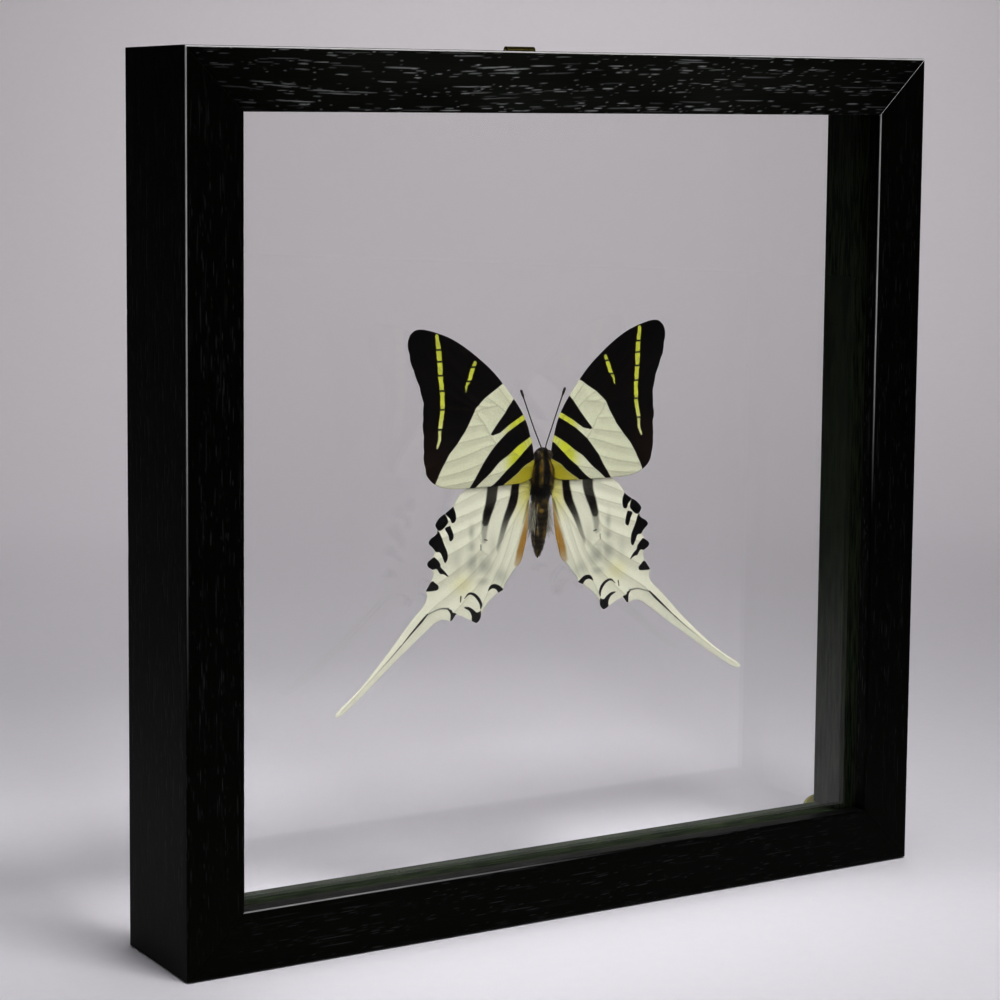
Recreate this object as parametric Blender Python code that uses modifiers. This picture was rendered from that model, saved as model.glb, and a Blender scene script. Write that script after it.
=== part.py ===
"""A swallowtail butterfly held between two panes of glass in a black ash frame.

The frame stands on its bottom rail. +X is to the viewer's right, +Y goes back from the
viewer, +Z is up, and the origin is the middle of the bottom face. Sizes are in metres.
"""

import math

import bmesh
import bpy
from mathutils import Matrix, Vector

MM = 0.001
GAP = 0.3 * MM                      # clearance between pieces that touch

# Frame moulding: an L section, a lip at the front and a wall round the outside.
FRAME_SIDE = 250 * MM
FRAME_DEPTH = 38 * MM
LIP_WIDTH = 17.2 * MM
LIP_DEPTH = 5.0 * MM
WALL = 5.5 * MM
ARRIS = 0.6 * MM                    # radius of the eased outer edges
ARRIS_STEPS = 3
ROUND_STEPS = 20                    # steps round the barrel, the strap's end and the like

# Glazing, from the lip backwards: pane, spacer slips, pane, beads of glue.
PANE = 2.0 * MM
SPACER_WIDTH = 6.2 * MM
SPACER_DEPTH = 24.2 * MM
GLASS_EASE = 0.2 * MM
DROP_RADIUS = {"bottom": 4.3 * MM, "top": 2.9 * MM}
DROP_HEIGHT = 2.8 * MM

# Strap hanger, screwed to the back edge of the top rail.
HANGER_X = 2.5 * MM
STRAP_WIDTH = 9.8 * MM
STRAP_THICK = 0.8 * MM
BARREL_RADIUS = 1.05 * MM
BARREL_BORE = 0.72 * MM
WIRE_RADIUS = 0.45 * MM
RING_CLEAR = 0.35 * MM              # between the ring and the edge of the strap
RING_DROP = 8.0 * MM                # axis to the middle of the wire at the bottom
SCREW_DROP = 4.1 * MM               # axis to the screw
SCREW_HEAD = (1.9 * MM, 1.0 * MM)   # radius, height
SCREW_SHANK = (0.8 * MM, 7.0 * MM)  # radius, length
PILOT_RADIUS = 1.1 * MM
PILOT_DEPTH = 8.0 * MM

# Butterfly: it faces the front pane, with its middle a little left of centre.
BODY_X = -0.7 * MM
BODY_Y = 1.8 * MM
BODY_TOP = 135.6 * MM
WING_THICK = 0.4 * MM
FOREWING_Y = 0.9 * MM
HINDWING_Y = 1.6 * MM
ANTENNA_Y = 1.0 * MM
ANTENNA_RADIUS = 0.2 * MM
CLUB_SCALE = 2.0
POST_RADIUS = 1.5 * MM
POST_Z = 127 * MM

# Body radii against height, in millimetres: head, neck, thorax, waist, abdomen, tip.
BODY_PROFILE = [
    (0.0, 135.6), (1.3, 135.2), (2.3, 134.0), (2.0, 132.0), (3.1, 130.0), (3.6, 127.0),
    (3.3, 123.5), (2.4, 121.0), (2.6, 118.0), (2.4, 113.0), (1.8, 108.0), (0.9, 104.0),
    (0.0, 102.4),
]
THORAX_RADIUS = max(radius for radius, height in BODY_PROFILE) * MM

# Outlines of the right wings, millimetres out from the body's middle and up from the base.
FOREWING = [
    (4.0, 134.8), (5.5, 143.2), (10.0, 150.9), (16.5, 158.2), (25.0, 165.1), (35.0, 170.2),
    (41.5, 171.4), (44.6, 168.0), (43.6, 161.0), (40.8, 153.5), (40.3, 144.0), (40.1, 135.5),
    (38.6, 129.0), (36.0, 126.6), (29.0, 125.0), (17.0, 125.0), (7.0, 126.8), (4.0, 129.5),
]
HINDWING = [
    (4.2, 126.0), (14.0, 129.5), (24.5, 125.4), (30.1, 119.8), (36.0, 115.1), (38.4, 109.7),
    (38.7, 103.5), (39.2, 96.0), (39.9, 92.3), (44.6, 87.6), (50.9, 81.0), (58.4, 74.0),
    (66.0, 67.8), (70.9, 64.5), (70.4, 63.5), (64.3, 66.6), (57.4, 71.4), (48.9, 77.6),
    (42.5, 82.2), (36.4, 86.5), (30.8, 86.8), (22.4, 85.4), (13.0, 94.2), (8.0, 101.4),
    (5.6, 110.0), (4.4, 119.0),
]
ANTENNA = [(0.9, 136.0), (3.3, 141.7), (5.5, 147.3), (7.1, 151.3), (7.7, 152.8)]

# Colours are linear RGB.
BLACK_STAIN = (0.006, 0.006, 0.006)
CLEAR_GREEN = (0.80, 0.90, 0.84)
SPACER_BLACK = (0.010, 0.012, 0.009)
GLUE_YELLOW = (0.35, 0.33, 0.10)
BRASS = (0.55, 0.44, 0.16)
WING_BLACK = (0.010, 0.008, 0.006)
WING_CREAM = (0.60, 0.62, 0.44)
BODY_BROWN = (0.020, 0.014, 0.006)

# Planes worked out from the sizes above.
HALF = FRAME_SIDE / 2
FRONT = -FRAME_DEPTH / 2
BACK = FRAME_DEPTH / 2
RABBET = HALF - WALL - GAP          # half the size of what lies inside the wall
FRONT_PANE_Y = FRONT + LIP_DEPTH + GAP
SPACER_Y = FRONT_PANE_Y + PANE + GAP
BACK_PANE_Y = SPACER_Y + SPACER_DEPTH + GAP
DROP_Y = BACK_PANE_Y + PANE + GAP
STRAP_Y = BACK + GAP + STRAP_THICK / 2
HANGER_Z = FRAME_SIDE + GAP + BARREL_RADIUS
SCREW_Z = HANGER_Z - SCREW_DROP


def clear_scene():
    """Removes every object, so that the part is the only thing in the scene."""
    for obj in list(bpy.data.objects):
        bpy.data.objects.remove(obj)


def new_collection(name):
    """A new collection in the scene."""
    collection = bpy.data.collections.new(name)
    bpy.context.scene.collection.children.link(collection)
    return collection


def new_material(name, colour, roughness, metallic=0.0, transmission=0.0, ior=1.5):
    """A Principled material."""
    material = bpy.data.materials.new(name)
    material.use_nodes = True
    shader = material.node_tree.nodes["Principled BSDF"]
    shader.inputs["Base Color"].default_value = (*colour, 1.0)
    shader.inputs["Roughness"].default_value = roughness
    shader.inputs["Metallic"].default_value = metallic
    shader.inputs["Transmission Weight"].default_value = transmission
    shader.inputs["IOR"].default_value = ior
    material.diffuse_color = (*colour, 1.0)
    return material


def add_object(name, data, collection, material=None, location=(0, 0, 0), rotation=(0, 0, 0)):
    """A named object in its collection, with its material and place."""
    obj = bpy.data.objects.new(name, data)
    collection.objects.link(obj)
    if material:
        data.materials.append(material)
    obj.location = location
    obj.rotation_euler = rotation
    return obj


def add_bevel(obj, width, segments=1):
    """Eases the sharp edges of a box or a turned piece."""
    bevel = obj.modifiers.new("Bevel", "BEVEL")
    bevel.width = width
    bevel.segments = segments
    bevel.limit_method = "ANGLE"


def add_boolean(obj, cutter, operation="DIFFERENCE"):
    """Cuts an object with a cutter."""
    boolean = obj.modifiers.new("Boolean", "BOOLEAN")
    boolean.object = cutter
    boolean.operation = operation
    boolean.solver = "EXACT"


def hide_cutter(obj):
    """Marks an object as a cutter, which isn't part of the model."""
    obj.hide_render = True
    obj.display_type = "WIRE"


def box_mesh(name, size):
    """A box centred on the origin."""
    bm = bmesh.new()
    bmesh.ops.create_cube(bm, size=1.0, matrix=Matrix.Diagonal((*size, 1.0)))
    mesh = bpy.data.meshes.new(name)
    bm.to_mesh(mesh)
    bm.free()
    return mesh


def cylinder_mesh(name, radius, length, segments=ROUND_STEPS):
    """A cylinder centred on the origin, along Y."""
    bm = bmesh.new()
    bmesh.ops.create_cone(
        bm, cap_ends=True, segments=segments, radius1=radius, radius2=radius, depth=length,
        matrix=Matrix.Rotation(math.pi / 2, 4, "X"),
    )
    mesh = bpy.data.meshes.new(name)
    bm.to_mesh(mesh)
    bm.free()
    return mesh


def round_corners(corners, steps):
    """An outline's points, with each corner (x, y, radius) turned into an arc."""
    points = []
    for i, (x, y, radius) in enumerate(corners):
        corner = Vector((x, y))
        if radius == 0:
            points.append(corner)
            continue
        before = (Vector(corners[i - 1][:2]) - corner).normalized()
        after = (Vector(corners[(i + 1) % len(corners)][:2]) - corner).normalized()
        half_angle = before.angle(after) / 2
        middle = corner + (before + after).normalized() * radius / math.sin(half_angle)
        start = (corner + before * radius / math.tan(half_angle) - middle).normalized()
        end = (corner + after * radius / math.tan(half_angle) - middle).normalized()
        for k in range(steps + 1):
            points.append(middle + radius * start.slerp(end, k / steps))
    return points


def arc(centre, radius, start, end, steps):
    """Points on a circle between two angles in degrees."""
    angles = [math.radians(start + (end - start) * k / steps) for k in range(steps + 1)]
    return [Vector(centre) + radius * Vector((math.cos(a), math.sin(a))) for a in angles]


def outline_curve(name, outlines, thickness):
    """A flat filled curve in its own XY plane, extruded to a thickness along Z."""
    curve = bpy.data.curves.new(name, "CURVE")
    curve.dimensions = "2D"
    curve.fill_mode = "BOTH"
    curve.extrude = thickness / 2
    for points in outlines:
        spline = curve.splines.new("POLY")
        spline.points.add(len(points) - 1)
        for target, (x, y) in zip(spline.points, points):
            target.co = (x, y, 0, 1)
        spline.use_cyclic_u = True
    return curve


def smooth_outline_curve(name, points, thickness, resolution=4):
    """A flat filled curve through the points with smooth handles."""
    curve = bpy.data.curves.new(name, "CURVE")
    curve.dimensions = "2D"
    curve.fill_mode = "BOTH"
    curve.extrude = thickness / 2
    curve.resolution_u = resolution
    spline = curve.splines.new("BEZIER")
    spline.bezier_points.add(len(points) - 1)
    for target, (x, y) in zip(spline.bezier_points, points):
        target.co = (x, y, 0)
        target.handle_left_type = "AUTO"
        target.handle_right_type = "AUTO"
    spline.use_cyclic_u = True
    return curve


def mesh_from_curve(name, curve, matrix):
    """A welded mesh of a curve, with the matrix applied."""
    guide = bpy.data.objects.new(name + "_curve", curve)
    bpy.context.scene.collection.objects.link(guide)
    bpy.context.view_layer.update()
    evaluated = guide.evaluated_get(bpy.context.evaluated_depsgraph_get())
    mesh = bpy.data.meshes.new_from_object(evaluated)
    mesh.name = name
    bpy.data.objects.remove(guide)
    mesh.transform(matrix)
    bm = bmesh.new()
    bm.from_mesh(mesh)
    bmesh.ops.remove_doubles(bm, verts=bm.verts, dist=0.01 * MM)
    bmesh.ops.recalc_face_normals(bm, faces=bm.faces)
    bm.to_mesh(mesh)
    bm.free()
    return mesh


def axes_matrix(x_axis, y_axis, z_axis):
    """The matrix that takes X, Y and Z to three directions."""
    return Matrix((x_axis, y_axis, z_axis)).transposed().to_4x4()


def keep_below(mesh, point, normal):
    """Cuts a mesh with a plane, keeps the side the normal points away from, and closes it."""
    bm = bmesh.new()
    bm.from_mesh(mesh)
    cut = bmesh.ops.bisect_plane(
        bm, geom=bm.verts[:] + bm.edges[:] + bm.faces[:], plane_co=point, plane_no=normal,
        clear_outer=True,
    )
    edges = [item for item in cut["geom_cut"] if isinstance(item, bmesh.types.BMEdge)]
    bmesh.ops.edgenet_fill(bm, edges=edges)
    bmesh.ops.recalc_face_normals(bm, faces=bm.faces)
    bm.to_mesh(mesh)
    bm.free()


def rail_mesh():
    """The bottom rail about the frame's middle: the L section, mitred at both ends."""
    section = round_corners(
        [
            (0, 0, ARRIS), (LIP_WIDTH, 0, ARRIS), (LIP_WIDTH, LIP_DEPTH, ARRIS / 2),
            (WALL, LIP_DEPTH, 0), (WALL, FRAME_DEPTH, ARRIS / 2), (0, FRAME_DEPTH, ARRIS),
        ],
        ARRIS_STEPS,
    )
    curve = outline_curve("rail_section", [section], FRAME_SIDE + 2 * LIP_WIDTH)
    turn = axes_matrix((0, 0, 1), (0, 1, 0), (-1, 0, 0))
    place = Matrix.Translation((0, FRONT, -HALF))
    mesh = mesh_from_curve("rail", curve, place @ turn)
    for side in (-1, 1):
        normal = Vector((side, 0, 1)).normalized()
        keep_below(mesh, -normal * GAP / 2, normal)
    return mesh


def build_rails(parts, cutters):
    """The four mitred rails. The top one has a pilot hole for the hanger's screw."""
    stain = new_material("black_stained_ash", BLACK_STAIN, 0.45)
    mesh = rail_mesh()
    mesh.materials.append(stain)
    rails = {}
    for turn, name in enumerate(("bottom", "left", "top", "right")):
        rails[name] = add_object(
            name + "_rail", mesh.copy(), parts, location=(0, 0, HALF),
            rotation=(0, turn * math.pi / 2, 0),
        )
    pilot = add_object(
        "pilot_hole", cylinder_mesh("pilot_hole", PILOT_RADIUS, 2 * PILOT_DEPTH), cutters,
        location=(HANGER_X, BACK, SCREW_Z),
    )
    hide_cutter(pilot)
    add_boolean(rails["top"], pilot)


def build_glazing(parts):
    """The two panes, the four spacer slips between them and the glue at the back corners."""
    glass = new_material("float_glass", CLEAR_GREEN, 0.02, transmission=1.0, ior=1.52)
    for name, y in (("front_glass", FRONT_PANE_Y), ("back_glass", BACK_PANE_Y)):
        mesh = box_mesh(name, (2 * RABBET, PANE, 2 * RABBET))
        pane = add_object(name, mesh, parts, glass, (0, y + PANE / 2, HALF))
        add_bevel(pane, GLASS_EASE)

    black = new_material("black_spacer", SPACER_BLACK, 0.5)
    reach = RABBET - SPACER_WIDTH / 2
    y = SPACER_Y + SPACER_DEPTH / 2
    upright = 2 * (RABBET - SPACER_WIDTH - GAP)
    for name, sign in (("bottom", -1), ("top", 1)):
        mesh = box_mesh(name + "_spacer", (2 * RABBET, SPACER_DEPTH, SPACER_WIDTH))
        add_object(name + "_spacer", mesh, parts, black, (0, y, HALF + sign * reach))
    for name, sign in (("left", -1), ("right", 1)):
        mesh = box_mesh(name + "_spacer", (SPACER_WIDTH, SPACER_DEPTH, upright))
        add_object(name + "_spacer", mesh, parts, black, (sign * reach, y, HALF))

    glue = new_material("hot_glue", GLUE_YELLOW, 0.25, transmission=0.6, ior=1.48)
    for level, up in (("bottom", -1), ("top", 1)):
        radius = DROP_RADIUS[level]
        for side, across in (("left", -1), ("right", 1)):
            name = "glue_drop_" + level + "_" + side
            offset = RABBET - radius
            add_object(
                name, drop_mesh(name, radius), parts, glue,
                (across * offset, DROP_Y, HALF + up * offset),
            )


def drop_mesh(name, radius):
    """A flattened bead: the back half of a squashed sphere, its flat side on the pane."""
    bm = bmesh.new()
    bmesh.ops.create_uvsphere(
        bm, u_segments=ROUND_STEPS, v_segments=ROUND_STEPS // 2, radius=1.0,
        matrix=Matrix.Diagonal((radius, DROP_HEIGHT, radius, 1.0)),
    )
    mesh = bpy.data.meshes.new(name)
    bm.to_mesh(mesh)
    bm.free()
    keep_below(mesh, Vector((0, 0, 0)), Vector((0, -1, 0)))
    return mesh


def strap_mesh():
    """The strap's side outline, a barrel with a plate below it, drawn across its width."""
    plate_half = STRAP_THICK / 2
    plate_length = RING_DROP - WIRE_RADIUS - RING_CLEAR
    join = math.degrees(math.asin(plate_half / BARREL_RADIUS))
    outer = arc((0, 0), BARREL_RADIUS, -90 + join, 270 - join, ROUND_STEPS)
    outer += [Vector((-plate_half, -plate_length)), Vector((plate_half, -plate_length))]
    bore = arc((0, 0), BARREL_BORE, 0, 360, ROUND_STEPS)[:-1]
    curve = outline_curve("strap_side", [outer, bore], STRAP_WIDTH)
    turn = axes_matrix((0, 1, 0), (0, 0, 1), (1, 0, 0))
    return mesh_from_curve("hanger_strap", curve, turn), plate_length


def build_hanger(parts, cutters):
    """The brass strap with its barrel, the ring that swings in it, and its screw."""
    brass = new_material("brass", BRASS, 0.35, metallic=1.0)
    mesh, plate_length = strap_mesh()
    place = (HANGER_X, STRAP_Y, HANGER_Z)
    strap = add_object("hanger_strap", mesh, parts, brass, place)

    half = STRAP_WIDTH / 2
    shape = [Vector((half, 2 * half)), Vector((-half, 2 * half))]
    shape += arc((0, half - plate_length), half, 180, 360, ROUND_STEPS)
    turn = axes_matrix((1, 0, 0), (0, 0, 1), (0, -1, 0))
    curve = outline_curve("strap_front", [shape], 4 * BARREL_RADIUS)
    blank = add_object("strap_blank", mesh_from_curve("strap_blank", curve, turn), cutters)
    blank.location = place
    hide_cutter(blank)
    add_boolean(strap, blank, "INTERSECT")
    hole = add_object(
        "strap_hole", cylinder_mesh("strap_hole", PILOT_RADIUS, 4 * STRAP_THICK), cutters,
        location=(HANGER_X, STRAP_Y, SCREW_Z),
    )
    hide_cutter(hole)
    add_boolean(strap, hole)

    build_ring(parts, brass, half + RING_CLEAR + WIRE_RADIUS, place)
    build_screw(parts)


def build_ring(parts, brass, half, place):
    """A D of wire: a straight bar through the barrel and a half round below it."""
    curve = bpy.data.curves.new("hanger_ring", "CURVE")
    curve.dimensions = "3D"
    curve.bevel_depth = WIRE_RADIUS
    curve.bevel_resolution = 2
    corner = 3 * WIRE_RADIUS
    points = [Vector((-half / 3, 0)), Vector((half / 3, 0))]
    points += arc((half - corner, -corner), corner, 90, 0, ARRIS_STEPS)
    points += arc((0, half - RING_DROP), half, 0, -180, ROUND_STEPS)
    points += arc((corner - half, -corner), corner, 180, 90, ARRIS_STEPS)
    spline = curve.splines.new("POLY")
    spline.points.add(len(points) - 1)
    for target, (x, z) in zip(spline.points, points):
        target.co = (x, 0, z, 1)
    spline.use_cyclic_u = True
    add_object("hanger_ring", curve, parts, brass, place)


def build_screw(parts):
    """A round head on a plain shank, turned about its own axis and laid along Y."""
    steel = new_material("brass_plated_steel", BRASS, 0.4, metallic=1.0)
    head_radius, head_height = SCREW_HEAD
    shank_radius, shank_length = SCREW_SHANK
    profile = [
        (0, head_height), (0.6 * head_radius, 0.85 * head_height), (head_radius, 0.3 * head_height),
        (head_radius, 0), (shank_radius, 0), (shank_radius, -0.8 * shank_length),
        (0, -shank_length),
    ]
    seat = (HANGER_X, STRAP_Y + STRAP_THICK / 2 + GAP, SCREW_Z)
    turned("hanger_screw", profile, parts, steel, seat, (-math.pi / 2, 0, 0))


def turned(name, profile, parts, material, location, rotation=(0, 0, 0)):
    """A piece turned about its Z axis from a profile that runs from top to bottom."""
    mesh = bpy.data.meshes.new(name)
    vertices = [(radius, 0, height) for radius, height in profile]
    edges = [(k, k + 1) for k in range(len(profile) - 1)]
    mesh.from_pydata(vertices, edges, [])
    obj = add_object(name, mesh, parts, material, location, rotation)
    screw = obj.modifiers.new("Screw", "SCREW")
    screw.axis = "Z"
    screw.angle = math.tau
    screw.steps = ROUND_STEPS
    screw.render_steps = ROUND_STEPS
    screw.use_merge_vertices = True
    screw.merge_threshold = 0.01 * MM
    screw.use_smooth_shade = True
    return obj


def build_butterfly(parts):
    """The body with its wings and antennae, and the clear post that holds it."""
    fur = new_material("butterfly_body", BODY_BROWN, 0.7)
    dark = new_material("forewing_scales", WING_BLACK, 0.6)
    pale = new_material("hindwing_scales", WING_CREAM, 0.6)
    profile = [(radius * MM, height * MM - BODY_TOP) for radius, height in BODY_PROFILE]
    turned("butterfly_body", profile, parts, fur, (BODY_X, BODY_Y, BODY_TOP))

    upright = (math.pi / 2, 0, 0)
    for side, sign in (("left", -1), ("right", 1)):
        wings = ((FOREWING, "_forewing", dark, FOREWING_Y), (HINDWING, "_hindwing", pale, HINDWING_Y))
        for outline, suffix, material, y in wings:
            points = [(sign * x * MM, z * MM) for x, z in outline]
            curve = smooth_outline_curve(side + suffix, points, WING_THICK)
            add_object(side + suffix, curve, parts, material, (BODY_X, y, 0), upright)
        build_antenna(side + "_antenna", sign, parts, dark)

    clear = new_material("acrylic", (0.9, 0.9, 0.9), 0.05, transmission=1.0, ior=1.49)
    start = BODY_Y + THORAX_RADIUS + GAP
    length = BACK_PANE_Y - GAP - start
    mesh = cylinder_mesh("support_post", POST_RADIUS, length)
    add_object("support_post", mesh, parts, clear, (BODY_X, start + length / 2, POST_Z))


def build_antenna(name, sign, parts, material):
    """A thin curved rod that thickens to a club at its tip."""
    curve = bpy.data.curves.new(name, "CURVE")
    curve.dimensions = "3D"
    curve.bevel_depth = ANTENNA_RADIUS
    curve.bevel_resolution = 2
    curve.use_fill_caps = True
    spline = curve.splines.new("POLY")
    spline.points.add(len(ANTENNA) - 1)
    for k, (x, z) in enumerate(ANTENNA):
        spline.points[k].co = (sign * x * MM, 0, z * MM, 1)
        spline.points[k].radius = CLUB_SCALE if k >= len(ANTENNA) - 2 else 1.0
    add_object(name, curve, parts, material, (BODY_X, ANTENNA_Y, 0))


def main():
    """Builds the framed butterfly."""
    clear_scene()
    parts = new_collection("framed_butterfly")
    cutters = new_collection("cutters")
    build_rails(parts, cutters)
    build_glazing(parts)
    build_hanger(parts, cutters)
    build_butterfly(parts)


main()
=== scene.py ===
"""Looks for a swordtail butterfly held between two panes of glass in a black ash frame.

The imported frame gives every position. +X is to the viewer's right, +Y goes back from the
viewer and +Z is up. Lengths are written in millimetres and turned to metres in the meshes.
"""

import logging
import math
from dataclasses import dataclass, field
from enum import Enum

import bpy
import numpy as np
from mathutils import Euler, Matrix, Vector

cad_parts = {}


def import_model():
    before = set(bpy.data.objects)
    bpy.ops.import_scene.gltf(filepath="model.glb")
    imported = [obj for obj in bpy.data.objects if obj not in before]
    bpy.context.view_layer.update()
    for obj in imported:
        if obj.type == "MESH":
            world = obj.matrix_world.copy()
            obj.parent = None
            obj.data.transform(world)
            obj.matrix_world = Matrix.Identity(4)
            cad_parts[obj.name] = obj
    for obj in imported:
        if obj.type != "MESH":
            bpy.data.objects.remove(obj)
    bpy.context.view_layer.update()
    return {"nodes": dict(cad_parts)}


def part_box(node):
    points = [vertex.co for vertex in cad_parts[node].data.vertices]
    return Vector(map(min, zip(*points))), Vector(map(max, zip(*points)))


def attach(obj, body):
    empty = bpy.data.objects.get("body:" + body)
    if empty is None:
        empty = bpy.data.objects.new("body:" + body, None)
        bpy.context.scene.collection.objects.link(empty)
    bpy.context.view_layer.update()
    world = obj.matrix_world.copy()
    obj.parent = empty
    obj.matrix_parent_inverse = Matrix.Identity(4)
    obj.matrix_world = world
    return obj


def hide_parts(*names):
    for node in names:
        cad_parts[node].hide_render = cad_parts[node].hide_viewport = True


MM = 0.001
MM_SCALE = 1000.0                   # noise scale that repeats once a millimetre
UP = Vector((0.0, 0.0, 1.0))
BODY_X = -0.7                       # the insect's middle line
SIDES = (("left", -1.0), ("right", 1.0))

Pair = tuple[float, float]
Triple = tuple[float, float, float]
Line = tuple[Pair, ...]
Array = np.ndarray
Tree = bpy.types.NodeTree
Socket = bpy.types.NodeSocket
Inputs = dict[str | int, object]
Own = dict[str, Socket]

log = logging.getLogger("butterfly_frame")


class Ends(Enum):
    """How a surface made of rings is closed at its first and last ring."""

    POINTED = "pointed"
    FLAT = "flat"
    JOINED = "joined"


class Body(Enum):
    """The bodies that pieces ride on."""

    FRAME = "frame"
    RING = "ring"


class Slot(Enum):
    """The names of the record's material slots for the new pieces' finishes."""

    ASH = "black_stained_ash"
    GLASS = "float_glass"
    SPACER = "black_spacer"
    GLUE = "hot_glue"
    BRASS = "brass"
    ACRYLIC = "clear_acrylic"
    FUR = "insect_fur"
    CUTICLE = "insect_cuticle"
    FOREWING = "forewing_scales"
    HINDWING = "hindwing_scales"


# ---------------------------------------------------------------- surfaces


@dataclass
class Surface:
    """A mesh in arrays, in millimetres, with named values at its points."""

    points: Array
    quads: Array
    triangles: Array
    caps: list[Array] = field(default_factory=list)
    values: dict[str, Array] = field(default_factory=dict)

    def volume(self) -> float:
        """The signed volume inside the surface, which is positive when faces point out."""
        fans = [self.quads[:, [0, 1, 2]], self.quads[:, [0, 2, 3]], self.triangles]
        for cap in self.caps:
            first = np.full(len(cap) - 2, cap[0])
            fans.append(np.stack([first, cap[1:-1], cap[2:]], axis=1))
        a, b, c = np.moveaxis(self.points[np.concatenate(fans)], 1, 0)
        return float(np.einsum("ij,ij->i", a, np.cross(b, c)).sum() / 6.0)

    def outward(self) -> "Surface":
        """The same surface with its faces turned outwards."""
        if self.volume() < 0.0:
            self.quads = self.quads[:, ::-1]
            self.triangles = self.triangles[:, ::-1]
            self.caps = [cap[::-1] for cap in self.caps]
        return self


def ring_surface(rings: Array, ends: Ends, values: dict[str, Array] | None = None) -> Surface:
    """A closed surface through rings of points.

    Ring i is joined to ring i + 1 by one quad for each of its steps. The ends get a fan of
    triangles to the middle of the ring, one flat face, or a join from last to first.

    Args:
        rings: Points in millimetres, indexed by ring, step and axis.
        ends: How the first and last ring are closed.
        values: Named values at the points, indexed by ring and step.

    Returns:
        The surface, with its faces outwards.
    """
    values = values or {}
    count, steps = rings.shape[:2]
    index = np.arange(count * steps).reshape(count, steps)
    last = None if ends is Ends.JOINED else -1
    here, there = index[:last], np.roll(index, -1, axis=0)[:last]
    quads = np.stack(
        [here, there, np.roll(there, -1, axis=1), np.roll(here, -1, axis=1)], axis=-1
    ).reshape(-1, 4)
    points = rings.reshape(-1, 3)
    flat = {name: value.reshape(-1) for name, value in values.items()}
    triangles = np.zeros((0, 3), int)
    caps = []
    if ends is Ends.FLAT:
        caps = [index[0], index[-1][::-1]]
    if ends is Ends.POINTED:
        poles = count * steps + np.array([0, 1])
        first, final = index[0], index[-1]
        triangles = np.concatenate([
            np.stack([np.full(steps, poles[0]), first, np.roll(first, -1)], axis=1),
            np.stack([np.full(steps, poles[1]), np.roll(final, -1), final], axis=1),
        ])
        points = np.concatenate([points, rings[[0, -1]].mean(axis=1)])
        flat = {
            name: np.concatenate([value.reshape(-1), value[[0, -1]].mean(axis=1)])
            for name, value in values.items()
        }
    return Surface(points, quads, triangles, caps, flat).outward()


def round_rings(middle: Array, reach: Array, back: Array, angle: Array) -> Array:
    """Rings about a line that runs back through a middle, at radii and places along it."""
    reach, back, angle = np.broadcast_arrays(reach, back, angle)
    return np.stack([
        middle[0] + reach * np.cos(angle), back, middle[2] + reach * np.sin(angle)
    ], axis=-1)


def packed_box(node: str) -> tuple[Array, Array]:
    """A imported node's low and high corners, in millimetres."""
    low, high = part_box(node)
    return np.array(low) / MM, np.array(high) / MM


def joined(surfaces: list[Surface]) -> Surface:
    """One surface that holds several, whose points are numbered one after another."""
    starts = np.cumsum([0] + [len(surface.points) for surface in surfaces[:-1]])
    return Surface(
        np.concatenate([surface.points for surface in surfaces]),
        np.concatenate([s.quads + start for s, start in zip(surfaces, starts)]),
        np.concatenate([s.triangles + start for s, start in zip(surfaces, starts)]),
        [cap + start for s, start in zip(surfaces, starts) for cap in s.caps],
        {
            name: np.concatenate([surface.values[name] for surface in surfaces])
            for name in surfaces[0].values
        },
    )


def add_object(name: str, data: bpy.types.ID) -> bpy.types.Object:
    """An object with that data, linked to the scene."""
    thing = bpy.data.objects.new(name, data)
    bpy.context.scene.collection.objects.link(thing)
    return thing


def make_piece(
    name: str, surface: Surface, material: bpy.types.Material, slot: Slot,
    *stands_for: str, body: Body = Body.FRAME,
) -> None:
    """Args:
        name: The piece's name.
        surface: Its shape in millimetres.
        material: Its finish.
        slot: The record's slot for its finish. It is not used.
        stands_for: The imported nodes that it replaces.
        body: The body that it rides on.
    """
    mesh = bpy.data.meshes.new(name)
    sizes = np.concatenate([
        np.full(len(surface.quads), 4), np.full(len(surface.triangles), 3),
        np.array([len(cap) for cap in surface.caps], int),
    ])
    corners = np.concatenate([surface.quads.ravel(), surface.triangles.ravel(), *surface.caps])
    mesh.vertices.add(len(surface.points))
    mesh.vertices.foreach_set("co", (surface.points * MM).astype(np.float32).ravel())
    mesh.loops.add(len(corners))
    mesh.loops.foreach_set("vertex_index", corners.astype(np.int32))
    mesh.polygons.add(len(sizes))
    mesh.polygons.foreach_set("loop_start", (np.cumsum(sizes) - sizes).astype(np.int32))
    smooth = np.ones(len(sizes), bool)
    smooth[len(sizes) - len(surface.caps):] = False
    mesh.polygons.foreach_set("use_smooth", smooth)
    for title, value in surface.values.items():
        layer = mesh.attributes.new(title, "FLOAT", "POINT")
        layer.data.foreach_set("value", value.astype(np.float32))
    mesh.update(calc_edges=True)
    mesh.validate()
    mesh.materials.append(material)
    piece = add_object(name, mesh)
    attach(piece, body.value)
    if stands_for:
        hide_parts(*stands_for)
    log.info("%s: %d points, %d faces", name, len(surface.points), len(sizes))


# ---------------------------------------------------------------- lines and fields


def smoothstep(low: float, high: float, value: Array) -> Array:
    """Runs from 0 at low to 1 at high, as 3t^2 - 2t^3."""
    t = np.clip((value - low) / (high - low), 0.0, 1.0)
    return t * t * (3.0 - 2.0 * t)


def unit(vectors: Array) -> Array:
    """The vectors at a length of 1."""
    return vectors / np.linalg.norm(vectors, axis=-1, keepdims=True)


def full_turn(count: int) -> Array:
    """Angles evenly round a circle, from 0."""
    return np.linspace(0.0, 2 * math.pi, count, endpoint=False)


def lengths_along(line: Array) -> Array:
    """The distance along a line to each of its points."""
    return np.concatenate([[0.0], np.cumsum(np.linalg.norm(np.diff(line, axis=0), axis=1))])


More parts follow.
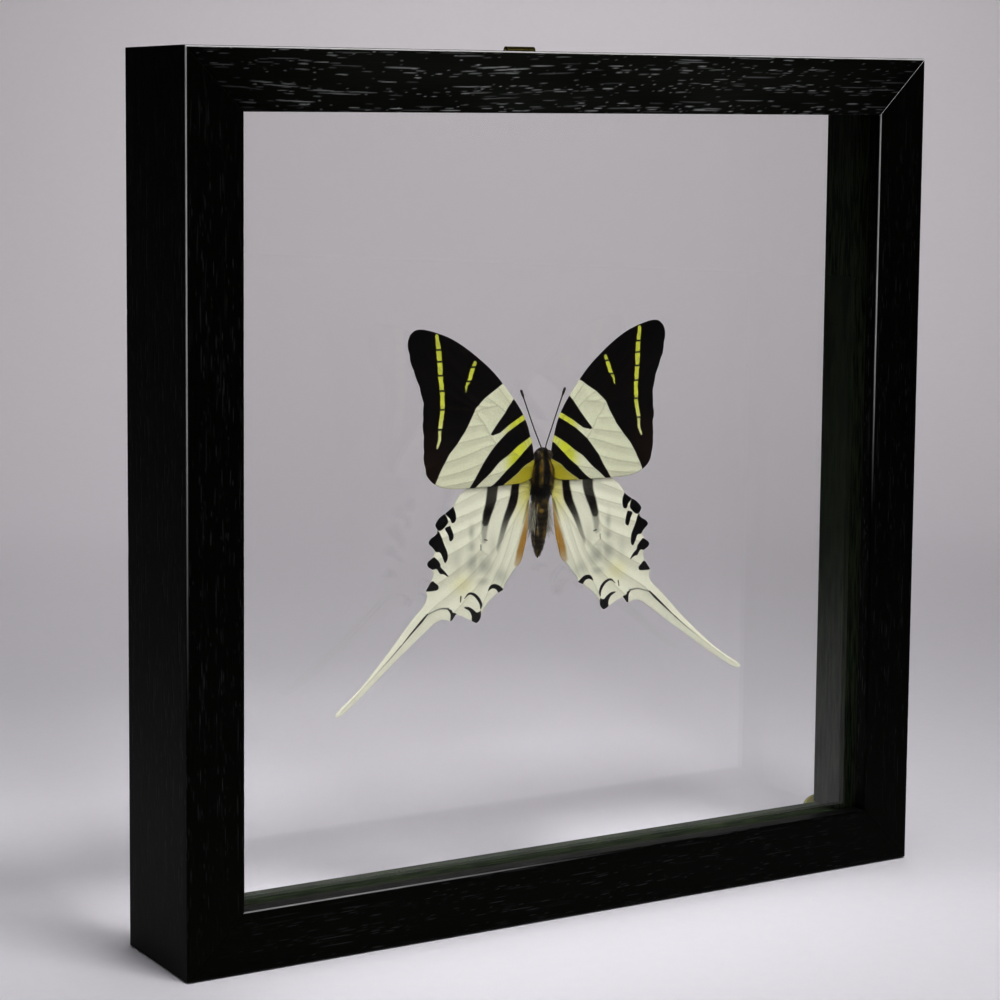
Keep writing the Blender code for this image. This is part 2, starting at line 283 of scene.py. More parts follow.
def smooth_line(points: Array, steps: int = 8) -> Array:
    """A Catmull-Rom line: each span is the cubic whose end slopes are half the chords
    between its neighbours.

    Args:
        points: The points that it passes through, in any number of dimensions.
        steps: Samples in each span.

    Returns:
        The samples, from the first point to the last.
    """
    held = np.concatenate([2 * points[:1] - points[1:2], points, 2 * points[-1:] - points[-2:-1]])
    before, start, end, after = held[:-3], held[1:-2], held[2:-1], held[3:]
    t = (np.arange(steps) / steps)[None, :, None]
    b, s, e, a = (part[:, None, :] for part in (before, start, end, after))
    curve = 0.5 * (
        2 * s + (e - b) * t + (2 * b - 5 * s + 4 * e - a) * t**2 + (3 * s - b - 3 * e + a) * t**3
    )
    return np.concatenate([curve.reshape(-1, points.shape[1]), points[-1:]])


def along_line(line: Array, share: Array) -> Array:
    """The points of a line at shares of its length, by linear steps between its samples."""
    lengths = lengths_along(line)
    return np.stack([np.interp(share * lengths[-1], lengths, axis) for axis in line.T], axis=-1)


def stroke(points: Array, line: Array, half: Array, strength: Array) -> tuple[Array, Array]:
    """How far points lie inside a brush stroke.

    The distance to the nearest place on the line is taken from the stroke's half width
    there, so the result is positive inside the stroke.

    Args:
        points: Places to test, in two columns.
        line: The stroke's middle line.
        half: Its half width at each point of the line.
        strength: A value carried along the line.

    Returns:
        The distance inside the stroke, and the value at the nearest place on the line.
    """
    start, edge = line[:-1], np.diff(line, axis=0)
    across = points[:, None, :] - start
    share = np.clip((across * edge).sum(-1) / np.maximum((edge**2).sum(-1), 1e-9), 0.0, 1.0)
    distance = np.linalg.norm(across - share[..., None] * edge, axis=-1)
    nearest = distance.argmin(axis=1)
    row = np.arange(len(points))
    place = nearest + share[row, nearest]
    knots = np.arange(len(line))
    inside = np.interp(place, knots, half) - distance[row, nearest]
    return inside, np.interp(place, knots, strength)


def distance_to(points: Array, line: Array) -> Array:
    """The distance from each point to the nearest place on a line."""
    width = np.zeros(len(line))
    return -stroke(points, line, width, width)[0]


def inside_outline(points: Array, outline: Array) -> Array:
    """The distance to an outline's edge, positive inside it, where a ray to the right
    crosses the edge an odd number of times."""
    start, end = outline, np.roll(outline, -1, axis=0)
    distance = distance_to(points, np.concatenate([outline, outline[:1]]))
    x, z = points[:, :1], points[:, 1:]
    rise = np.where(end[:, 1] == start[:, 1], 1e-9, end[:, 1] - start[:, 1])
    crosses = ((start[:, 1] > z) != (end[:, 1] > z)) & (
        x < (end[:, 0] - start[:, 0]) * (z - start[:, 1]) / rise + start[:, 0]
    )
    return np.where(crosses.sum(axis=1) % 2 == 1, distance, -distance)


def scatter(first: Array, second: Array, seed: int) -> Array:
    """A number from 0 to 1 for each pair of whole numbers, mixed by multiplying and
    shifting their bits."""
    mixed = (
        first.astype(np.int64) * 374761393 + second.astype(np.int64) * 668265263 + seed * 974634777
    ) & 0xFFFFFFFF
    mixed = ((mixed ^ (mixed >> 13)) * 1274126177) & 0xFFFFFFFF
    return ((mixed ^ (mixed >> 16)) & 0xFFFFFF) / float(0x1000000)


def drift(first: Array, second: Array, seed: int) -> Array:
    """Smooth noise from -1 to 1: scattered numbers at the corners of unit squares,
    blended across each square."""
    i, j = np.floor(first), np.floor(second)
    u = smoothstep(0.0, 1.0, first - i)
    v = smoothstep(0.0, 1.0, second - j)
    low = scatter(i, j, seed) * (1 - u) + scatter(i + 1, j, seed) * u
    high = scatter(i, j + 1, seed) * (1 - u) + scatter(i + 1, j + 1, seed) * u
    return 2.0 * (low * (1 - v) + high * v) - 1.0


# ---------------------------------------------------------------- finishes


def linear(colour: str) -> tuple[float, float, float, float]:
    """An sRGB hex colour as linear RGB with an alpha of 1."""
    parts = [int(colour[k:k + 2], 16) / 255.0 for k in (1, 3, 5)]
    return (*(c / 12.92 if c <= 0.04045 else ((c + 0.055) / 1.055) ** 2.4 for c in parts), 1.0)


def add_node(tree: Tree, kind: str, inputs: Inputs, output: str | int = 0) -> Socket:
    """Adds a node with its options, values and links.

    Args:
        tree: The material's node tree.
        kind: The node's type, without ShaderNode.
        inputs: By name or number, a value for an option, or a number, a hex colour or
            another node's output for a socket.
        output: The output to return.

    Returns:
        That output.
    """
    node = tree.nodes.new("ShaderNode" + kind)
    for name, value in inputs.items():
        if isinstance(name, str) and hasattr(node, name):
            setattr(node, name, value)
        elif isinstance(value, Socket):
            tree.links.new(value, node.inputs[name])
        else:
            is_hex = isinstance(value, str)
            node.inputs[name].default_value = linear(value) if is_hex else value
    return node.outputs[output]


def layered(tree: Tree, ground: object, *layers: tuple[Socket, object]) -> Socket:
    """A ground colour under layers, each a share from 0 to 1 and a colour."""
    for share, colour in layers:
        mix = {"data_type": "RGBA", 0: share, 6: ground, 7: colour}
        ground = add_node(tree, "Mix", mix, 2)
    return ground


def noise(tree: Tree, size: float, stretch: Triple = (1, 1, 1), detail: float = 3.0) -> Socket:
    """Noise on Object coordinates.

    Args:
        tree: The material's node tree.
        size: The size of its spots in millimetres.
        stretch: How many times finer it is along each axis.
        detail: Its octaves.

    Returns:
        The noise, from 0 to 1.
    """
    place = add_node(tree, "TexCoord", {}, "Object")
    turned = add_node(tree, "Mapping", {"Scale": stretch, "Vector": place})
    grain = {"Scale": MM_SCALE / size, "Detail": detail, "Vector": turned}
    return add_node(tree, "TexNoise", grain, "Fac")


def frayed_mask(
    tree: Tree, distance: Socket, scales: Socket, frayed: float, soft: float
) -> Socket:
    """The mask of a marking by the distance inside it, with an edge that the scales fray.

    Args:
        tree: The material's node tree.
        distance: The distance inside the marking, in millimetres.
        scales: Noise of the scales, from 0 to 1.
        frayed: How far the scales move the edge, in millimetres.
        soft: Half the width of the edge's fade, in millimetres.

    Returns:
        The mask, from 0 to 1.
    """
    moved = add_node(
        tree, "Math", {"operation": "MULTIPLY_ADD", 0: scales, 1: frayed, 2: distance}
    )
    inside = add_node(tree, "Math", {"operation": "SUBTRACT", 0: moved, 1: frayed / 2})
    return add_node(tree, "MapRange", {
        "interpolation_type": "SMOOTHSTEP", "From Min": -soft, "From Max": soft, "Value": inside,
    })


def uneven(tree: Tree, share: Socket, spots: Socket, least: float) -> Socket:
    """A share, times the sum of the spots and a least share."""
    sum_of_both = add_node(tree, "Math", {"operation": "ADD", 0: spots, 1: least})
    return add_node(tree, "Math", {"operation": "MULTIPLY", 0: share, 1: sum_of_both})


def mottled(tree: Tree, colour: object, spots: Socket, swing: float, least: float) -> Socket:
    """A colour whose brightness rises with the spots from its least share."""
    bright = add_node(tree, "Math", {"operation": "MULTIPLY_ADD", 0: spots, 1: swing, 2: least})
    return add_node(tree, "HueSaturation", {"Color": colour, "Value": bright})


@dataclass(frozen=True)
class Finish:
    """What a surface looks like, named for the real material."""

    name: str = "finish"
    stored: tuple[str, ...] = ()        # the values stored on its pieces that it reads

    def inputs(self, tree: Tree, own: Own) -> Inputs:
        """The values and links of a Principled shader's sockets, by name."""
        raise NotImplementedError

    def material(self) -> bpy.types.Material:
        """The finish as a Blender material."""
        material = bpy.data.materials.new(self.name)
        material.use_nodes = True
        tree = material.node_tree
        tree.nodes.clear()
        own = {
            title: add_node(tree, "Attribute", {"attribute_name": title}, "Fac")
            for title in self.stored
        }
        surface = add_node(tree, "BsdfPrincipled", self.inputs(tree, own))
        tree.links.new(surface, tree.nodes.new("ShaderNodeOutputMaterial").inputs["Surface"])
        return material


@dataclass(frozen=True)
class StainedAsh(Finish):
    """Ash stained black and left open-grained: deep black with fine grey pores along it, their grey
    partly painted highlight, with a painted sheen and painted arris highlights.
    """

    name: str = "black_stained_ash"
    stored: tuple[str, ...] = ("along", "across", "dull_and_sheen", "pore", "arris_highlight")
    stain: str = "#020202"
    worn: str = "#070707"
    # Pale grey of the pores: partly the open grain, partly painted highlight of light catching their
    # walls.
    pore: str = "#e9ebec"
    # Near-white painted highlight for the arrises and one mitre edge that catch the light.
    painted_highlight: str = "#f2f0f0"
    # Olive-grey painted sheen on the top rail's front face.
    painted_sheen: str = "#282c26"
    lustre: str = "#e2e8c8"
    roughness: float = 0.42
    bump_mm: float = 0.05

    def inputs(self, tree: Tree, own: Own) -> Inputs:
        """Grain along the piece's own values, then a painted sheen, pores partly painted with
        highlight, and painted highlights on the arrises.
        """
        place = add_node(tree, "CombineXYZ", {"X": own["along"], "Y": own["across"]})
        # Fibres about a third of a millimetre wide and ten long, a little coarser than real.
        fibre = add_node(tree, "Mapping", {"Scale": (0.1, 3.0, 1.0), "Vector": place})
        streak = add_node(tree, "TexNoise", {"Scale": 1.0, "Detail": 4.0, "Vector": fibre}, "Fac")
        band = add_node(tree, "MapRange", {"From Min": 0.35, "From Max": 0.75, "Value": streak})
        return {
            "IOR": 1.4, "Specular IOR Level": 0.09, "Specular Tint": self.lustre,
            "Base Color": layered(
                tree, self.stain, (band, self.worn),
                (uneven(tree, own["dull_and_sheen"], streak, 0.4), self.painted_sheen),
                (uneven(tree, own["pore"], streak, 0.15), self.pore),
                # Painted highlight where the arrises and one mitre edge catch the light.
                (uneven(tree, own["arris_highlight"], streak, 0.6), self.painted_highlight),
            ),
            "Roughness": add_node(tree, "Math", {
                "operation": "MULTIPLY_ADD", 0: streak, 1: 0.22, 2: self.roughness - 0.11,
            }),
            "Normal": add_node(tree, "Bump", {
                "Strength": 0.5, "Distance": self.bump_mm * MM, "Height": streak,
            }),
        }


@dataclass(frozen=True)
class FloatGlass(Finish):
    """Float glass: colourless and all but invisible face on, with sharp reflections."""

    name: str = "float_glass"
    tint: str = "#ffffff"
    ior: float = 1.52
    roughness: float = 0.0

    def inputs(self, tree: Tree, own: Own) -> Inputs:
        """See-through by transmission."""
        return {
            "Base Color": self.tint, "Roughness": self.roughness, "IOR": self.ior,
            "Transmission Weight": 1.0,
        }


@dataclass(frozen=True)
class ClearAcrylic(FloatGlass):
    """Cast acrylic rod: clear, with a slightly softer surface than glass."""

    name: str = "clear_acrylic"
    tint: str = "#fbfdfc"
    ior: float = 1.49
    roughness: float = 0.03


@dataclass(frozen=True)
class SpacerBoard(Finish):
    """Painted board between the panes: a matt green-black with a slight sheen."""

    name: str = "black_spacer"
    paint: str = "#0a140b"
    rubbed_and_highlit: str = "#333c28"
    roughness: float = 0.62

    def inputs(self, tree: Tree, own: Own) -> Inputs:
        """Faint streaks along the board, half a millimetre across."""
        mottle = noise(tree, 1.0, (0.12, 1.6, 0.12), 4.0)
        streaks = add_node(tree, "MapRange", {
            "interpolation_type": "SMOOTHSTEP", "From Min": 0.35, "From Max": 0.65,
            "Value": mottle,
        })
        return {
            "IOR": 1.4, "Specular IOR Level": 0.05,
            "Base Color": layered(tree, self.paint, (streaks, self.rubbed_and_highlit)),
            "Roughness": add_node(tree, "Math", {
                "operation": "MULTIPLY_ADD", 0: mottle, 1: 0.2, 2: self.roughness - 0.1,
            }),
            "Normal": add_node(tree, "Bump", {
                "Strength": 0.25, "Distance": 0.1 * MM, "Height": noise(tree, 0.6),
            }),
        }


@dataclass(frozen=True)
class HotGlue(Finish):
    """A set bead of hot-melt glue: a waxy, half-clear olive yellow."""

    name: str = "hot_glue"
    body: str = "#d6d07c"
    cloud: str = "#b0aa5e"

    def inputs(self, tree: Tree, own: Own) -> Inputs:
        """Cloudier in patches a millimetre across."""
        return {
            "IOR": 1.48, "Transmission Weight": 0.35, "Roughness": 0.22,
            "Subsurface Weight": 0.3, "Subsurface Scale": 0.002,
            "Base Color": layered(tree, self.body, (noise(tree, 1.0), self.cloud)),
        }


@dataclass(frozen=True)
class StampedBrass(Finish):
    """Stamped brass sheet and wire: dark olive-yellow metal, tarnished in patches."""

    name: str = "stamped_brass"
    bright: str = "#665c2b"
    dull_and_sheen: str = "#2a2612"
    roughness: float = 0.3

    def inputs(self, tree: Tree, own: Own) -> Inputs:
        """Metal with tarnish about a millimetre across."""
        tarnish = noise(tree, 1.2)
        return {
            "Metallic": 1.0,
            "Base Color": layered(tree, self.bright, (tarnish, self.dull_and_sheen)),
            "Roughness": add_node(tree, "Math", {
                "operation": "MULTIPLY_ADD", 0: tarnish, 1: 0.3, 2: self.roughness - 0.1,
            }),
            "Normal": add_node(tree, "Bump", {
                "Strength": 0.2, "Distance": 0.05 * MM, "Height": noise(tree, 0.3),
            }),
        }


@dataclass(frozen=True)
class ForewingScales(Finish):
    """Scales on the forewing: velvet brown-black, with a cream band and yellow stripes."""

    name: str = "forewing_scales"
    stored: tuple[str, ...] = ("pale", "vein", "yellow", "olive", "brown", "under")
    black: str = "#060302"
    brown: str = "#2a1a10"
    cream: str = "#dcddc3"
    yellow: str = "#d0d446"
    olive: str = "#b0a61a"
    vein: str = "#a09f84"
    edge_mm: float = 0.16
    frayed_mm: float = 0.14

    def inputs(self, tree: Tree, own: Own) -> Inputs:
        """Colours by the distances and shares stored on the wing."""
        # Scales stand in rows about 0.1 mm apart; the mottling is drawn at 0.35 mm to show.
        scales = noise(tree, 0.35, (1.0, 1.0, 1.0), 2.0)
        veined = add_node(tree, "Math", {"operation": "MULTIPLY", 0: own["vein"], 1: 0.4})
        light = layered(
            tree, self.cream, (own["yellow"], self.yellow), (own["olive"], self.olive),
            (veined, self.vein),
        )
        warm = own["brown"]
        for title, most in (("vein", 0.3), ("under", 0.7)):
            part = add_node(tree, "Math", {"operation": "MULTIPLY", 0: own[title], 1: most})
            warm = add_node(tree, "Math", {"operation": "MAXIMUM", 0: warm, 1: part})
        dark = layered(tree, self.black, (warm, self.brown))
        pale = frayed_mask(tree, own["pale"], scales, self.frayed_mm, self.edge_mm)
        colour = layered(tree, dark, (pale, light))
        return {
            "Roughness": 0.8, "Specular IOR Level": 0.1,
            "Base Color": mottled(tree, colour, scales, 0.36, 0.80),
            "Normal": add_node(tree, "Bump", {
                "Strength": 0.35, "Distance": 0.06 * MM, "Height": scales,
            }),
        }


@dataclass(frozen=True)
class HindwingScales(Finish):
    """Scales on the hindwing: thin cream with grey clouds, sooty marks and an ochre streak."""

    name: str = "hindwing_scales"
    stored: tuple[str, ...] = ("root", "warm", "cloud", "vein", "ochre", "stripe", "soot")
    cream: str = "#e3e3d0"
    root: str = "#c4be5a"
    warm: str = "#dbd8ac"
    cloud: str = "#85887b"
    soot: str = "#030202"
    stripe: str = "#110b07"
    ochre: str = "#a57a20"
    vein: str = "#a6a588"
    edge_mm: float = 0.14
    frayed_mm: float = 0.12

    def inputs(self, tree: Tree, own: Own) -> Inputs:
        """Colours by the distances and shares stored on the wing."""
        scales = noise(tree, 0.35, (1.0, 1.0, 1.0), 2.0)
        shade = add_node(tree, "Math", {"operation": "MULTIPLY_ADD", 0: scales, 1: 0.2, 2: 0.92})
        striped = add_node(tree, "Math", {"operation": "MULTIPLY", 0: own["stripe"], 1: shade})
        veined = add_node(tree, "Math", {"operation": "MULTIPLY", 0: own["vein"], 1: 0.35})
        colour = layered(
            tree, self.cream, (own["root"], self.root), (own["warm"], self.warm),
            (uneven(tree, own["cloud"], scales, 0.5), self.cloud), (veined, self.vein),
            (own["ochre"], self.ochre), (striped, self.stripe),
            (frayed_mask(tree, own["soot"], scales, self.frayed_mm, self.edge_mm), self.soot),
        )
        return {
            "Roughness": 0.76, "Specular IOR Level": 0.08,
            "Base Color": mottled(tree, colour, scales, 0.24, 0.87),
            "Normal": add_node(tree, "Bump", {
                "Strength": 0.3, "Distance": 0.06 * MM, "Height": scales,
            }),
        }


@dataclass(frozen=True)
class InsectFur(Finish):
    """Fine hair and scales on the body: brown-black, with old-gold tufts and pale fringes."""

    name: str = "insect_fur"
    stored: tuple[str, ...] = ("gold", "pale")
    dark: str = "#0e0906"
    gold: str = "#ae8e2c"
    pale: str = "#dad8c6"

    def inputs(self, tree: Tree, own: Own) -> Inputs:
        """Colours by the shares stored on the body and its hairs."""
        tuft = noise(tree, 0.4, (1.0, 1.0, 0.4), 2.0)
        colour = layered(tree, self.dark, (own["gold"], self.gold), (own["pale"], self.pale))
        return {
            "Roughness": 0.6, "Specular IOR Level": 0.3,
            "Base Color": mottled(tree, colour, tuft, 0.9, 0.5),
        }


@dataclass(frozen=True)
class InsectCuticle(Finish):
    """Bare cuticle of the eyes and antennae: hard, dark brown and a little glossy."""

    name: str = "insect_cuticle"
    shell: str = "#1d1511"
    ridge: str = "#3a2c22"

    def inputs(self, tree: Tree, own: Own) -> Inputs:
        """A fine grain."""
        colour = layered(tree, self.shell, (noise(tree, 0.3), self.ridge))
        return {"IOR": 1.56, "Roughness": 0.3, "Base Color": colour}


@dataclass(frozen=True)
class StudioPaper(Finish):
    """Seamless paper: matt and pale, a cool grey that leans to lilac."""

    name: str = "studio_paper"
    colour: str = "#eeebf1"

    def inputs(self, tree: Tree, own: Own) -> Inputs:
        """A very faint fibre."""
        colour = mottled(tree, self.colour, noise(tree, 4.0), 0.03, 0.985)
        return {"Roughness": 0.9, "Specular IOR Level": 0.2, "Base Color": colour}


# ---------------------------------------------------------------- frame


@dataclass(frozen=True)
class Pores:
    """Open pores of ring-porous wood: grooves along the grain, long ones and short ones."""

    pitch: float = 0.6
    half_width: float = 0.28            # in pitches
    depth: float = 0.13
    cells: Pair = (15.0, 6.0)
    ring_width: float = 5.3
    wander: Pair = (1.6, 0.35)          # of the grain, over a long and a short stretch
    fewest: float = 0.15                # share of cells with a pore in the late wood
    early_wood: float = 0.6             # how much larger that share is in the early wood

    def grooves(self, along: Array, across: Array, seed: int, length: float) -> Array:
        """Pores of one kind, from 0 on the surface to 1 at a pore's bottom.

        The face is cut into rows a pore wide, which wander with the grain, and each row
        into cells of a length. A cell may hold one pore, a groove with a round section and
        pointed ends, and most pores lie in the early wood of each yearly ring.
        """
        bent = across + self.wander[0] * drift(along / 85.0, across / 14.0, seed)
        bent = bent + self.wander[1] * drift(along / 19.0, across / 5.0, seed + 1)
        row = np.floor(bent / self.pitch)
        offset = (bent / self.pitch - row - 0.5) / self.half_width
        start = along + length * scatter(row, row, seed + 2)
        cell = np.floor(start / length)
        half = 0.03 + 0.4 * scatter(row, cell, seed + 3) ** 2.4
        middle = (scatter(row, cell, seed + 4) - 0.5) * (1.0 - 2.0 * half)
        reach = (start / length - cell - 0.5 - middle) / half
        ring = 0.5 + 0.5 * np.sin(2 * math.pi * bent / self.ring_width + seed)
        present = scatter(row, cell, seed + 5) < self.fewest + self.early_wood * ring**1.5
        open_share = 0.16 + 0.84 * scatter(row, cell, seed + 6) ** 1.6
        groove = np.clip(1.0 - offset**2, 0.0, 1.0) * np.sqrt(np.clip(1.0 - reach**2, 0.0, 1.0))
        return groove * present * open_share

    def over(self, along: Array, across: Array, seed: int) -> Array:
        """The deepest pore of any kind at each place."""
        return np.max([
            self.grooves(along, across, seed + 100 * kind, length)
            for kind, length in enumerate(self.cells)
        ], axis=0)


@dataclass
class Moulding:
    """The four mitred rails: an L section of open-grained ash.

    Values in fours are for the bottom, left, top and right rails. The mitre eases are the
    radii of the rails' end edges, and a painted highlight on the outer and the inner arris
    fades between two places along the rail.
    """

    side: float = 250.0
    depth: float = 38.0
    lip_width: float = 17.2
    lip_depth: float = 5.0
    wall: float = 5.5
    arris: float = 0.6
    inner_arris: float = 0.3
    rebate_fillet: float = 0.15
    arc_steps: int = 5
    mitre_gap: float = 0.01
    mitre_eases: tuple[float, ...] = (0.07, 0.07, 0.07, 0.22)
    station: float = 0.75               # steps along the rail
    fine: float = 0.21                  # steps round the section, where it shows
    coarse: float = 2.4                 # and where it doesn't
    # How much painted highlight the pores carry on each rail's front face, most on the top rail
    # whose grooves catch the light from above, and round the back.
    lit_pore_shares: tuple[float, ...] = (0.08, 0.07, 1.0, 0.05)
    lit_pores_round_the_back: float = 0.14
    # A painted sheen on the top rail's front face, where the light from above glances off it.
    painted_sheen: tuple[float, ...] = (0.0, 0.0, 0.8, 0.0)
    # Shares of painted highlight on the outer and the inner front arris of each rail, where they
    # catch the light.
    rubbed_and_highlit: tuple[tuple[float, float], ...] = ((0.0, 0.45), (0.9, 0.0), (1.0, 0.0), (0.1, 0.8))
    fades: tuple[tuple[float, float], ...] = (
        (30.0, -90.0), (60.0, -60.0), (-300.0, -200.0), (-20.0, 60.0),
    )
    # This rail's far mitre edge gets a painted highlight line.
    highlit_mitre_rail: int = 3                 # the rail, counted from the bottom one
    pores: Pores = field(default_factory=Pores)
    finish: StainedAsh = field(default_factory=StainedAsh)

    def section(self) -> tuple[Array, Array, Array]:
        """The rail's section, from its outer front edge inwards, backwards and round.

        Each corner is a quarter circle, tangent to both of its sides, and the straight
        runs between them are sampled closely where they show.

        Returns:
            Points across and back, their outward normals, and the distance round.
        """
        corners = (
            (0.0, 0.0, self.arris, 1, self.fine), (self.lip_width, 0.0, self.arris, 1, self.fine),
            (self.lip_width, self.lip_depth, self.inner_arris, 1, self.coarse),
            (self.wall, self.lip_depth, self.rebate_fillet, -1, self.coarse),
            (self.wall, self.depth, self.inner_arris, 1, self.coarse),
            (0.0, self.depth, self.arris, 1, self.fine * 1.25),
        )
        places = np.array([corner[:2] for corner in corners])
        points, normals = [], []
        for k, (*_, radius, turn, step) in enumerate(corners):
            following = (k + 1) % len(places)
            before, after = unit(places[[k - 1, following]] - places[k])
            angle = np.linspace(0.0, math.pi / 2, self.arc_steps)[:, None]
            ray = -(after * np.cos(angle) + before * np.sin(angle))
            arc = places[k] + (before + after + ray) * radius
            reach = places[following] - after * corners[following][2]
            run = np.linalg.norm(reach - arc[-1])
            count = max(2, int(run / step))
            share = (np.arange(1, count) / count)[:, None]
            points += [arc, arc[-1] + (reach - arc[-1]) * share]
            normals += [ray * turn, np.repeat(ray[-1:] * turn, count - 1, axis=0)]
        outline, outward = np.concatenate(points), np.concatenate(normals)
        return outline, outward, lengths_along(outline)

    def arris_highlight(
        self, turn: int, outline: Array, normals: Array, stations: Array, mitred: Array
    ) -> Array:
        """Where the stain is rubbed off: the arrises in front, and one mitre's edge.

        Args:
            turn: The rail's number of quarter turns.
            outline: The section's points.
            normals: Their outward normals.
            stations: The places of the sections along the rail.
            mitred: Which sections lie on the far mitre's eased edge.

        Returns:
            The share of painted highlight at each section and point.
        """
        front = outline[:, 1] < self.arris
        share = np.where(outline[:, 0] < self.lip_width / 2, *self.rubbed_and_highlit[turn])
        # The product peaks at 1 where an arris faces 60 degrees towards the front, where its painted
        # highlight is brightest.
        arris = 3.08 * np.abs(normals[:, 0]) * np.abs(normals[:, 1]) ** 3 * front
        rubbed_and_highlit = share * arris**2 * smoothstep(*self.fades[turn], stations)[:, None]
        # The far mitre's eased edge on one rail gets a painted highlight line.
        return np.maximum(rubbed_and_highlit, (turn == self.highlit_mitre_rail) * mitred[:, None] * front)

    def rail(self, turn: int) -> Surface:
        """One rail, turned by quarter turns about the frame's middle from the bottom one.

        The section is carried along the rail. At an offset x from the outer edge the rail
        is as long as the mitre at 45 degrees leaves it, and just before the mitre the
        section draws in along a quarter circle, which eases the edge.
        """
        outline, normals, across = self.section()
        half = self.side / 2
        reach = half - self.mitre_gap
        count = int(self.side / self.station)
        eased = self.mitre_eases[turn]
        bend = np.linspace(0.0, math.pi / 2, self.arc_steps)[1:]
        ease = eased * (1.0 - np.cos(bend))
        inner = reach - eased
        stations = np.linspace(-inner, inner, count)
        tips = inner + eased * np.sin(bend)
        stations = np.concatenate([-tips[::-1], stations, tips])
        drawn = np.concatenate([ease[::-1], np.zeros(count), ease])
        along = stations[:, None] * (reach - outline[None, :, 0]) / reach
        width = np.broadcast_to(across, along.shape)
        # Each rail is cut from a stretch of wood of its own, further along and deeper in.
        pore = self.pores.over(along + 400.0 * turn, width + 60.0, 11 + 7 * turn)
        hidden = (outline[:, 1] > self.lip_depth - 0.4) & (outline[:, 0] > self.wall - 0.4)
        pore = pore * ~hidden * (1.0 - 0.8 * np.abs(stations[:, None] / half) ** 4)
        sink = drawn[:, None] + pore * self.pores.depth
        x = outline[:, 0] - normals[:, 0] * sink
        y = outline[:, 1] - normals[:, 1] * sink
        low = x - half
        angle = turn * math.pi / 2
        rings = np.stack([
            along * math.cos(angle) + low * math.sin(angle),
            y - self.depth / 2,
            half + low * math.cos(angle) - along * math.sin(angle),
        ], axis=-1)
        mitred = (stations > 0.0) & (drawn > 0.0)
        arris_highlight = self.arris_highlight(turn, outline, normals, stations, mitred)
        # The pores' painted highlight is full on the front face and weaker round the back.
        front = outline[:, 1] < self.arris / 2
        lit_pores = np.where(front, self.lit_pore_shares[turn], self.lit_pores_round_the_back)
        # The painted sheen lies on the front face, lightest at the rail's middle.
        dull_and_sheen = self.painted_sheen[turn] * front * (1.0 - (stations[:, None] / half) ** 2)
        dull_and_sheen = dull_and_sheen * (0.6 + 0.4 * drift(along / 24.0, width / 7.0, 43))
        return ring_surface(rings, Ends.FLAT, {
            "along": along, "across": width, "pore": pore * lit_pores, "arris_highlight": arris_highlight, "dull_and_sheen": dull_and_sheen,
        })

    def build(self) -> None:
        """Makes the four rails."""
        material = self.finish.material()
        for turn, name in enumerate(("bottom", "left", "top", "right")):
            make_piece(name + "_moulding", self.rail(turn), material, Slot.ASH, name + "_rail")


@dataclass
class Glazing:
    """The panes and spacer slips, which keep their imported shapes, and the glue behind."""

    glass: FloatGlass = field(default_factory=FloatGlass)
    board: SpacerBoard = field(default_factory=SpacerBoard)
    glue: HotGlue = field(default_factory=HotGlue)
    rings: int = 26
    steps: int = 72

    def dress(self, nodes: dict[str, bpy.types.Object]) -> None:
        """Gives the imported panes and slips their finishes. The panes let lamps through."""
        glass, board = self.glass.material(), self.board.material()
        slips = {side + "_spacer": board for side in ("bottom", "top", "left", "right")}
        for name, material in {"front_glass": glass, "back_glass": glass, **slips}.items():
            nodes[name].data.materials.clear()
            nodes[name].data.materials.append(material)
            nodes[name].visible_shadow = material is board

    def bead(self, node: str, seed: int) -> Surface:
        """A squashed bead of glue, its flat side on the pane.

        The profile is a superellipse with a foot, and the radius wavers round the bead as
        a sum of two sines.
        """
        low, high = packed_box(node)
        centre, radius = (low + high) / 2, (high[0] - low[0]) / 2
        rise = np.linspace(0.0, 1.0, self.rings)[1:]
        profile = np.concatenate([[0.35, 0.8, 0.97], (1 - rise**2.2) ** 0.55])[:-1]
        height = np.concatenate([[0.0, 0.0, 0.03], rise])[:-1]
        angle = full_turn(self.steps)
        waver = 0.9 + 0.05 * np.sin(2 * angle + seed) + 0.04 * np.sin(3 * angle + 2.3 * seed)
        reach = radius * profile[:, None] * waver
        lift = low[1] + (high[1] - low[1]) * height[:, None] * (
            1.0 - 0.05 * np.sin(angle + seed) * profile[:, None]
        ) * 0.97
        return ring_surface(round_rings(centre, reach, lift, angle), Ends.POINTED)

    def build(self) -> None:
        """Makes the four beads of glue."""
        material = self.glue.material()
        for seed, corner in enumerate(("bottom_left", "bottom_right", "top_left", "top_right")):
            drop = "glue_drop_" + corner
            make_piece("glue_bead_" + corner, self.bead(drop, seed + 1), material, Slot.GLUE, drop)


